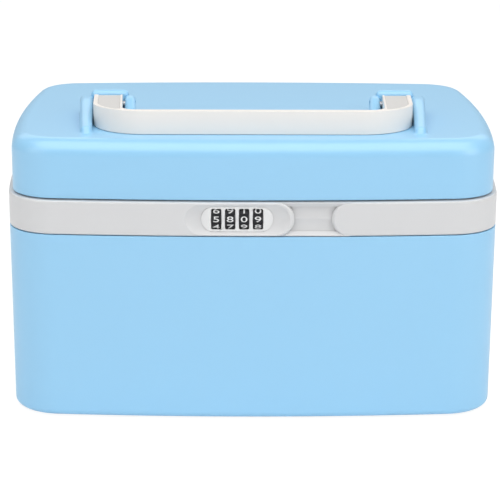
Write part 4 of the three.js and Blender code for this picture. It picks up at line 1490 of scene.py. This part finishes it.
@dataclass
class Lid:
    """The upper shell with its hinge barrels, handle brackets and catch."""

    inset: float = 2.1
    wall: float = 2.3
    top_round: float = 8.6
    edge_round: float = 0.5
    pivot_y: float = -17.5
    pivot_lift: float = 5.8
    pin: float = 1.6
    arm_x: float = 84.884
    arm_width: float = 15.1
    arm_room: float = 0.5
    end_radius: float = 5
    splay: float = 3
    ridge_width: float = 6.6
    ridge_draw_in: float = 1.7
    ridge_length: float = 58
    ridge_height: float = 10
    inner_width: float = 5.8
    inner_length: float = 21
    inner_room: float = 1.1
    wall_depth: float = 6
    wall_height: float = 12
    foot_round: float = 0.9
    root: float = 8
    seat: float = 1.5
    fill: float = 16
    flank_share: float = 0.42
    pin_share: float = 0.55
    wall_round: float = 2.9
    notch_depth: float = 16
    foot_zone: tuple[Point, Point] = ((55, 100), (-82, 2))
    foot_merge: float = 0.3

    @property
    def wall_front(self) -> float:
        """Where the front of the brackets' back walls lies along Y."""
        return self.pivot_y + self.end_radius + self.arm_room

    @property
    def ridge_x(self) -> float:
        """Where the right-hand ridge's inner face lies along X, before it is toed in."""
        return self.arm_x + self.arm_room

    @property
    def inner_x(self) -> float:
        """Where the right-hand inner lug's inner face lies along X, before it is toed in."""
        return self.arm_x - self.arm_width - self.inner_room - self.inner_width

    def shell(self) -> Piece:
        """Sweeps the lid's section round the plan.

        Returns:
            The shell, filled at the top and under the ceiling.
        """
        s = SIZES
        inner = self.inset + self.wall
        ceiling = s.lid_top - self.wall
        section = [
            (inner + self.fill, ceiling, 0),
            (inner, ceiling, self.top_round - self.wall),
            (inner, s.lid_bottom, 0.25),
            (self.inset, s.lid_bottom, self.edge_round),
            (self.inset, s.lid_top, self.top_round),
            (self.inset + self.fill, s.lid_top, 0),
        ]
        return PLAN.sweep("lid", soften(section, 12, closed=False))

    def lug(
        self,
        x: float,
        width: float,
        length: float,
        profile: list[Corner],
        draw_in: float = 0,
    ) -> Piece:
        """Models one lug of a bracket, which slopes down towards the front.

        Args:
            x: Its inner face before it is toed in.
            width: Its width.
            length: Its length along the handle's arm.
            profile: Its top line's corners as the distance from the back, the height and the round.
            draw_in: How far its outer side is turned in towards the front, in degrees.

        Returns:
            The lug, which reaches a little into the lid.
        """
        base = SIZES.lid_top - self.root
        back = self.wall_front + 1
        top_line = [(back - far, SIZES.lid_top + height, round_) for far, height, round_ in profile]
        last_far, last_height, _ = profile[-1]
        run = (length - last_far) * self.root / last_height
        outline = soften([(back, base, 0), *top_line, (back - length - run, base, 0)], 8)
        outer = x + width
        piece = prism("lug", outline, Facing.ALONG_X, x, outer)
        with editing(piece):
            pick(piece, lambda v: v.co.x > (outer - HAIR) * MM)
            spin_picked(-draw_in, "Z", (outer, back - length / 2, base))
        above = (base + 0.5) * MM

        def on_flank(edge: Edge) -> bool:
            """Whether an edge bounds one of the lug's two flat sides, above its root."""
            sides = [abs(face.normal.x) > SQUARE_ON for face in edge.link_faces]
            return sum(sides) == 1 and max(v.co.z for v in edge.verts) > above

        round_edges(piece, on_flank, width * self.flank_share, 6)
        trim_below(piece, SIZES.lid_top - self.seat)
        turn(piece, -self.splay, "Z", (self.arm_x, self.pivot_y, 0))
        return piece

    def bracket(self) -> Piece:
        """Joins the outer ridge, the back wall and the inner lug of the right-hand bracket.

        Returns:
            The bracket.
        """
        top, high = SIZES.lid_top, self.ridge_height
        length = self.ridge_length
        ridge_line = [(0, high, 3), (13, high, 40), (length - 3, 3.6, 3)]
        ridge = self.lug(self.ridge_x, self.ridge_width, length, ridge_line, self.ridge_draw_in)
        inner_line = [(0, high, 3), (7, high - 0.6, 9), (self.inner_length - 3, 5, 5)]
        inner = self.lug(self.inner_x, self.inner_width, self.inner_length, inner_line)
        wall = block(
            "wall",
            (self.inner_x + self.inner_width - 2, self.wall_front, top - self.root),
            (self.ridge_x + 2, self.wall_front + self.wall_depth, top + self.wall_height),
            self.wall_round,
        )
        trim_below(wall, top - self.seat)
        work_in(ridge, Mix.ADD, inner, wall)
        return ridge

    def pin_bore(self, side: int) -> Piece:
        """Makes the bore for one of the handle's pins.

        Args:
            side: 1 for the right-hand pin, -1 for the other.

        Returns:
            The bore.
        """
        near = self.inner_x - 2
        far = self.ridge_x + self.ridge_width * self.pin_share + SIZES.gap
        start = near if side > 0 else -far
        place = (start, self.pivot_y, SIZES.lid_top + self.pivot_lift)
        return rod("pin_bore", "x", place, far - near, self.pin + SIZES.gap, 40)

    def fit_hinge(self, shell: Piece) -> None:
        """Notches the back wall for the band's leaves and adds the lid's own barrels.

        Args:
            shell: The lid's shell.
        """
        band, s = RimBand, SIZES
        top = band.hinge_z + band.barrel + 1
        for place in (-band.hinge_x, band.hinge_x):
            for side in (-1, 1):
                near = place + side * band.knuckle / 2
                left, right = sorted((near, near + side * (band.lug + 3 * s.gap)))
                low = (left, s.rear - self.notch_depth, s.lid_bottom - 1)
                work_in(shell, Mix.CUT, block("notch", low, (right, s.rear + 1, top)))
            start = (place - band.knuckle / 2, band.hinge_y, band.hinge_z)
            work_in(shell, Mix.ADD, rod("barrel", "x", start, band.knuckle, band.barrel))
            start = (place - band.knuckle, band.hinge_y, band.hinge_z)
            work_in(shell, Mix.CUT, rod("bore", "x", start, 2 * band.knuckle, band.pin + s.gap, 32))

    def blend_feet(self, shell: Piece) -> None:
        """Fillets the joint between the brackets and the top of the lid.

        Args:
            shell: The lid's shell with its brackets.
        """
        top = SIZES.lid_top

        def is_near(place: Vector) -> bool:
            """Whether a place, in metres, is near a bracket."""
            (near, far), (front, back) = self.foot_zone
            return near < abs(place.x / MM) < far and front < place.y / MM < back

        def at_foot(edge: Edge) -> bool:
            """Whether an edge is the foot line of a bracket."""
            middle = (edge.verts[0].co + edge.verts[1].co) / 2
            return lies_at(edge, top) and is_near(middle) and is_sharp(edge, degrees=20)

        with editing(shell):
            pick(shell, lambda v: is_near(v.co) and abs(v.co.z - top * MM) < NEAR)
            bpy.ops.mesh.remove_doubles(threshold=self.foot_merge * MM)
        round_edges(shell, at_foot, self.foot_round, 4, clamp=False)

    def build(self) -> None:
        """Models the lid and mounts it, and dresses its catch and pins."""
        shell = self.shell()
        self.fit_hinge(shell)
        right = self.bracket()
        work_in(shell, Mix.ADD, right, mirrored(right, "bracket_left"))
        work_in(shell, Mix.CUT, *(self.pin_bore(side) for side in (-1, 1)))
        self.blend_feet(shell)
        finish_piece(shell, "lid_cover", "lid", SHELL_BLUE, ["lid_shell"])
        BAND_GREY.dress_nodes("lid_catch")
        PLATED_STEEL.dress_nodes("hinge_pin_1", "hinge_pin_2", "handle_pin_1", "handle_pin_2")


# The carrying handle


@dataclass
class CarryHandle:
    """The U-shaped handle with its tall thin bar and the sunk panels on its arms, whose floors
    carry painted shade.
    """

    width: float = 167.2
    reach: float = 70
    bar: float = 4.6
    arm_width: float = 15.1
    corner: float = 28
    inner_corner: float = 8
    splay: float = 3
    lift: float = 0.2
    height: float = 12.2
    level_foot: float = 14
    blank: float = 14
    end_radius: float = 5
    pivot_y: float = -17.5
    pivot_lift: float = 5.8
    outer_rim: float = 2.1
    inner_rim: float = 1
    tip_rim: float = 2.4
    panel_depth: float = 0.8
    panel_height: float = 8
    panel_round: float = 0.4
    sliver: float = 0.4
    crease: float = 50
    edge_round: float = 0.8

    @property
    def corner_y(self) -> float:
        """Where the centres of the round front corners lie along Y."""
        return -self.reach + self.corner

    @property
    def pivot_z(self) -> float:
        """The height of the pins."""
        return SIZES.lid_top + self.pivot_lift

    def edge_x(self, y: float) -> float:
        """Half the outer width of the handle at y."""
        return self.width / 2 + math.tan(math.radians(self.splay)) * (y - self.corner_y)

    def outline(self) -> list[Point]:
        """Draws the handle's plan.

        Returns:
            The outline in (x, y).
        """
        end = self.pivot_y + self.end_radius
        bar = -self.reach + self.bar
        half = [
            (self.edge_x(end), end, 0),
            (self.edge_x(end) - self.arm_width, end, 0),
            (self.edge_x(bar) - self.arm_width, bar, self.inner_corner),
        ]
        mirror_half = [(-x, y, r) for x, y, r in reversed(half)]
        inside = soften([*half, *mirror_half], 8, closed=False)
        left = arc(self.corner - self.width / 2, self.corner_y, self.corner, 180, 270, 20)
        return [*inside, *left, *((-x, y) for x, y in reversed(left))]

    def side_view(self) -> list[Point]:
        """Draws the handle's side view: level at the bar, sloping to a round end.

        Returns:
            The outline in (y, z).
        """
        low, high = SIZES.lid_top + self.lift, SIZES.lid_top + self.height
        front = -self.reach - 2
        end = arc(self.pivot_y, self.pivot_z, self.end_radius, -90, 90, 30)
        foot, crown = (front + self.level_foot, low), (-self.reach + self.bar, high)
        return [(front, low), foot, *end, crown, (front, high)]

    def panel(self) -> Piece:
        """Makes the solid that sinks the panel in the right arm's top.

        Returns:
            The solid.
        """
        back = self.pivot_y + self.end_radius - self.outer_rim
        tip = -self.reach + self.bar + self.tip_rim
        radius = self.corner - self.outer_rim
        last = math.degrees(math.asin((self.corner_y - tip) / radius))
        inset = self.arm_width - self.inner_rim
        outline = [
            (self.edge_x(back) - inset, back),
            (self.edge_x(tip) - inset, tip),
            *arc(self.width / 2 - self.corner, self.corner_y, radius, -last, 0, 16),
            (self.edge_x(back) - self.outer_rim, back),
        ]
        piece = prism("panel", outline, Facing.ALONG_Z, 0, self.panel_height)
        rise = self.height - self.pivot_lift - self.end_radius
        slope = math.atan2(rise, self.pivot_y + self.reach - self.bar)
        turn(piece, -math.degrees(slope), "X", (0, self.pivot_y, 0))
        shift(piece, (0, 0, self.pivot_z + self.end_radius - self.panel_depth))
        round_edges(piece, self.is_floor, self.panel_round, 3)
        return piece

    @staticmethod
    def is_floor(edge: Edge) -> bool:
        """Whether an edge bounds the underside of the panel's solid."""
        down = any(face.normal.z < -SQUARE_ON for face in edge.link_faces)
        return down and is_sharp(edge, CREASE)

    def build(self) -> None:
        """Models the handle and mounts it."""
        s = SIZES
        low, high = s.lid_top + self.lift, s.lid_top + self.blank
        strap = prism("strap", self.outline(), Facing.ALONG_Z, low, high)
        view = prism("view", self.side_view(), Facing.ALONG_X, -self.width, self.width)
        work_in(strap, Mix.COMMON, view)
        merge_close(strap, self.sliver)
        round_edges(strap, lambda e: is_sharp(e, self.crease), self.edge_round, 4)
        panel = self.panel()
        work_in(strap, Mix.CUT, panel, mirrored(panel, "panel_left"))
        work_in(strap, Mix.CUT, *(Lid().pin_bore(side) for side in (-1, 1)))
        finish_piece(strap, "folding_handle", "handle", HANDLE_GREY, ["carry_handle"])
        # The panels' floors take the darker grey: painted shade
        strap.data.materials.append(HANDLE_PANEL_SHADE.material())
        for face in strap.data.polygons:
            face.material_index = int(self.in_panel(face))

    def in_panel(self, face: bpy.types.MeshPolygon) -> bool:
        """Whether a face belongs to the floor of a sunk panel, which takes the painted shade.

        Args:
            face: A face of the finished handle.

        Returns:
            True on both panels' floors.
        """
        centre = face.center / MM
        share = (centre.y - self.pivot_y) / (self.bar - self.reach - self.pivot_y)
        end = self.pivot_z + self.end_radius
        top = end + (SIZES.lid_top + self.height - end) * share
        return face.normal.z > 0.5 and centre.z < top - self.panel_depth / 2


# The tray


@dataclass
class LiftOutTray:
    """The pan with five pockets that hangs in the band by its rim."""

    front: float = -63.925
    front_step: float = 1.5
    rim_inset: float = 7.4
    rim: float = 1.8
    pan_inset: float = 10.5
    depth: float = 34
    wall: float = 1.6
    foot_round: float = 4
    split: float = 0.79
    side_wall: float = 38.57
    pocket_round: float = 4
    floor_round: float = 2
    edge_round: float = 0.5
    fill: float = 12
    notch: Corner = (126.6, 8, 12)
    reach: float = 140
    sliver: float = 0.05
    flatness: float = 0.002

    @property
    def under(self) -> float:
        """The height of the rim's underside."""
        return SIZES.band_top + SIZES.gap

    @property
    def top(self) -> float:
        """The height of the rim's top."""
        return self.under + self.rim

    def plate(
        self, name: str, inset: float, low: float, front: float, foot: float = 0, lower: float = 0
    ) -> Piece:
        """Sweeps a solid round the plan and cuts its front off.

        Args:
            name: The piece's name.
            inset: How far its side stands in from the box's.
            low: The height of its underside.
            front: Where its flat front lies along Y.
            foot: The radius of its lower edge.
            lower: How far it ends below the rim's top.

        Returns:
            The solid.
        """
        top = self.top - lower
        middle = inset + self.fill
        corners = [(middle, low, 0), (inset, low, foot), (inset, top, 0), (middle, top, 0)]
        piece = PLAN.sweep(name, soften(corners, 6, closed=False))
        ahead = (-self.reach, -self.reach, low - 1), (self.reach, front, self.top + 1)
        work_in(piece, Mix.CUT, block("ahead", *ahead))
        return piece

    def pockets(self) -> Piece:
        """Shapes the cutter of the pockets: three in front, two behind.

        Returns:
            Five separate lumps with round corners, as one piece.
        """
        half, far = self.wall / 2, self.reach
        floor = self.top - self.depth + self.wall
        front = self.front + self.front_step + self.wall
        piece = self.plate("pockets", self.pan_inset + self.wall, floor, front)
        walls = [(-far, far, self.split - half, self.split + half), (-half, half, self.split, far)]
        for x in (self.side_wall, -self.side_wall):
            walls.append((x - half, x + half, -far, self.split))
        for left, right, near, back in walls:
            low, high = (left, near, floor - 1), (right, back, self.top + 1)
            work_in(piece, Mix.CUT, block("wall", low, high))
        merge_close(piece, self.sliver)
        with editing(piece):
            bpy.ops.mesh.dissolve_limited(angle_limit=self.flatness)

        def is_upright(edge: Edge) -> bool:
            """Whether an edge is an upright corner."""
            x, y, z = edge.verts[0].co - edge.verts[1].co
            return abs(z) > MM and abs(x) + abs(y) < NEAR and is_sharp(edge, degrees=30)

        round_edges(piece, is_upright, self.pocket_round, 6, clamp=False)
        round_edges(
            piece, lambda e: lies_at(e, floor) and is_sharp(e), self.floor_round, 4, clamp=False
        )
        with editing(piece):
            pick(piece, lambda v: abs(v.co.z - self.top * MM) < NEAR)
            bpy.ops.transform.translate(value=(0, 0, MM))
        return piece

    def build(self) -> None:
        """Models the tray and mounts it."""
        tray = self.plate("pocket_tray", self.rim_inset, self.under, self.front)
        x, y, radius = self.notch
        for side in (-1, 1):
            start = (side * x, y, self.under - 1)
            work_in(tray, Mix.CUT, rod("notch", "z", start, self.rim + 2, radius, 80))
        bottom, front = self.top - self.depth, self.front + self.front_step
        pan = self.plate("pan", self.pan_inset, bottom, front, self.foot_round, self.rim / 2)
        work_in(tray, Mix.ADD, pan)
        work_in(tray, Mix.CUT, self.pockets())
        merge_close(tray, self.sliver)
        round_edges(
            tray, lambda e: lies_at(e, self.top) and is_sharp(e), self.edge_round, 3, clamp=False
        )
        finish_piece(tray, "pocket_tray", "tray", TRAY_FROST, ["lift_out_tray"])


# The studio


@dataclass
class Studio:
    """The floor, the lamps, the white surroundings and the camera."""

    lens: float = 127.833
    place: Corner = (-11.287, -957.969, 335.547)
    yaw: float = 0.624
    pitch: float = 15.643
    roll: float = 0.254
    gloss_share: float = 0.18
    fill: float = 0.3
    floor_glow: float = 1.15
    floor_share: float = 0.8

    def camera(self) -> None:
        """Sets the camera at the photograph's place and angle."""
        yaw, pitch, roll = (math.radians(a) for a in (self.yaw, self.pitch, self.roll))
        level = Vector((math.cos(yaw), -math.sin(yaw), 0))
        way = Vector((math.sin(yaw), math.cos(yaw), 0))
        ahead = way * math.cos(pitch) - Vector((0, 0, math.sin(pitch)))
        above = level.cross(ahead)
        right = level * math.cos(roll) + above * math.sin(roll)
        up = above * math.cos(roll) - level * math.sin(roll)
        data = bpy.data.cameras.new("photo_camera")
        data.sensor_width, data.lens = 36, self.lens
        data.clip_start, data.clip_end = 0.01, 50
        camera = bpy.data.objects.new("photo_camera", data)
        bpy.context.scene.collection.objects.link(camera)
        turn = Matrix((right, up, -ahead)).transposed().to_4x4()
        camera.matrix_world = Matrix.Translation(Vector(self.place) * MM) @ turn
        bpy.context.scene.camera = camera

    def lamp(
        self,
        name: str,
        place: Corner,
        size: tuple[float, float],
        power: float,
        aim: Corner = (0, 0, 0.08),
    ) -> None:
        """Hangs a soft rectangular lamp.

        Args:
            name: The lamp's name.
            place: Where it hangs, in metres.
            size: Its width and height, in metres.
            power: Its power, in watts.
            aim: The point that it faces.
        """
        data = bpy.data.lights.new(name, "AREA")
        data.shape = "RECTANGLE"
        data.size, data.size_y = size
        data.energy = power
        lamp = bpy.data.objects.new(name, data)
        bpy.context.scene.collection.objects.link(lamp)
        lamp.location = place
        lamp.rotation_euler = (Vector(aim) - Vector(place)).to_track_quat("-Z", "Y").to_euler()

    def seen_directly(self, tree: Tree) -> Node:
        """Adds the nodes that tell rays from the camera, or by gloss or glass, from light rays.

        Args:
            tree: The node tree.

        Returns:
            A node whose output is 1 for such rays.
        """
        path = node(tree, "LightPath")
        gloss = node(tree, "Math", {1: self.gloss_share}, operation="MULTIPLY")
        first = node(tree, "Math", operation="MAXIMUM")
        second = node(tree, "Math", operation="MAXIMUM")
        wire(
            tree,
            (path, "Is Camera Ray", first, 0),
            (path, "Is Glossy Ray", gloss, 0),
            (gloss, 0, first, 1),
            (first, 0, second, 0),
            (path, "Is Transmission Ray", second, 1),
        )
        return second

    def surroundings(self) -> None:
        """Makes the world white to the eye and a soft fill to the object."""
        world = bpy.data.worlds.new("studio_white")
        bpy.context.scene.world = world
        world.use_nodes = True
        tree = world.node_tree
        shown = tree.nodes["Background"]
        for key, value in {"Color": WHITE, "Strength": 1}.items():
            shown.inputs[key].default_value = value
        fill = node(tree, "Background", {"Color": WHITE, "Strength": self.fill})
        self.choose(tree, self.seen_directly(tree), fill, shown, tree.nodes["World Output"])

    @staticmethod
    def choose(tree: Tree, share: Node, other: Node, shown: Node, output: Node) -> None:
        """Shows one shader where a share is 1 and another where it is 0.

        Args:
            tree: The node tree.
            share: The node that gives the share.
            other: The shader for 0.
            shown: The shader for 1.
            output: The tree's output node.
        """
        choice = node(tree, "MixShader")
        wire(
            tree,
            (share, 0, choice, "Fac"),
            (other, 0, choice, 1),
            (shown, 0, choice, 2),
            (choice, 0, output, "Surface"),
        )

    def floor(self) -> None:
        """Lays a wide white floor that keeps the box's shadow."""
        deselect()
        bpy.ops.mesh.primitive_plane_add(size=14, location=(0, 0, 0))
        floor = bpy.context.object
        floor.name = "studio_floor"
        made = bpy.data.materials.new("floor_white")
        made.use_nodes = True
        tree = made.node_tree
        matt = tree.nodes["Principled BSDF"]
        values = {"Base Color": (0.9, 0.9, 0.9, 1), "Roughness": 0.9, "Specular IOR Level": 0.2}
        for key, value in values.items():
            matt.inputs[key].default_value = value
        glow = node(tree, "Emission", {"Color": WHITE, "Strength": self.floor_glow})
        share = node(tree, "Math", {1: self.floor_share}, operation="MULTIPLY")
        wire(tree, (self.seen_directly(tree), 0, share, 0))
        self.choose(tree, share, matt, glow, tree.nodes["Material Output"])
        floor.data.materials.append(made)

    def build(self) -> None:
        """Sets up the studio."""
        self.camera()
        self.floor()
        self.surroundings()
        self.lamp("top_lamp", (0, -0.5, 1.35), (2.4, 1.5), 20.5, (0, -0.09, 0.14))
        self.lamp("back_lamp", (0, 1.25, 1.0), (2.4, 0.7), 4.7, (0, 0, 0.14))
        self.lamp("right_lamp", (1.6, -1.1, 0.7), (1.2, 1.2), 8.6)
        self.lamp("left_lamp", (-1.6, -1.0, 0.7), (1.2, 1.2), 4.8)


def main() -> None:
    """Builds the box, piece by piece, and the studio round it."""
    logging.basicConfig(level=logging.INFO, format="%(name)s: %(message)s")
    bpy.context.scene.view_settings.view_transform = "Standard"
    moulding_group()
    drawn_metal_group()
    parts = Tub, RimBand, CombinationLock, PushButton, Lid, CarryHandle, LiftOutTray, Studio
    for part in (kind() for kind in parts):
        part.build()
        log.info("%s is built", type(part).__name__)


if __name__ == "__main__":
    main()
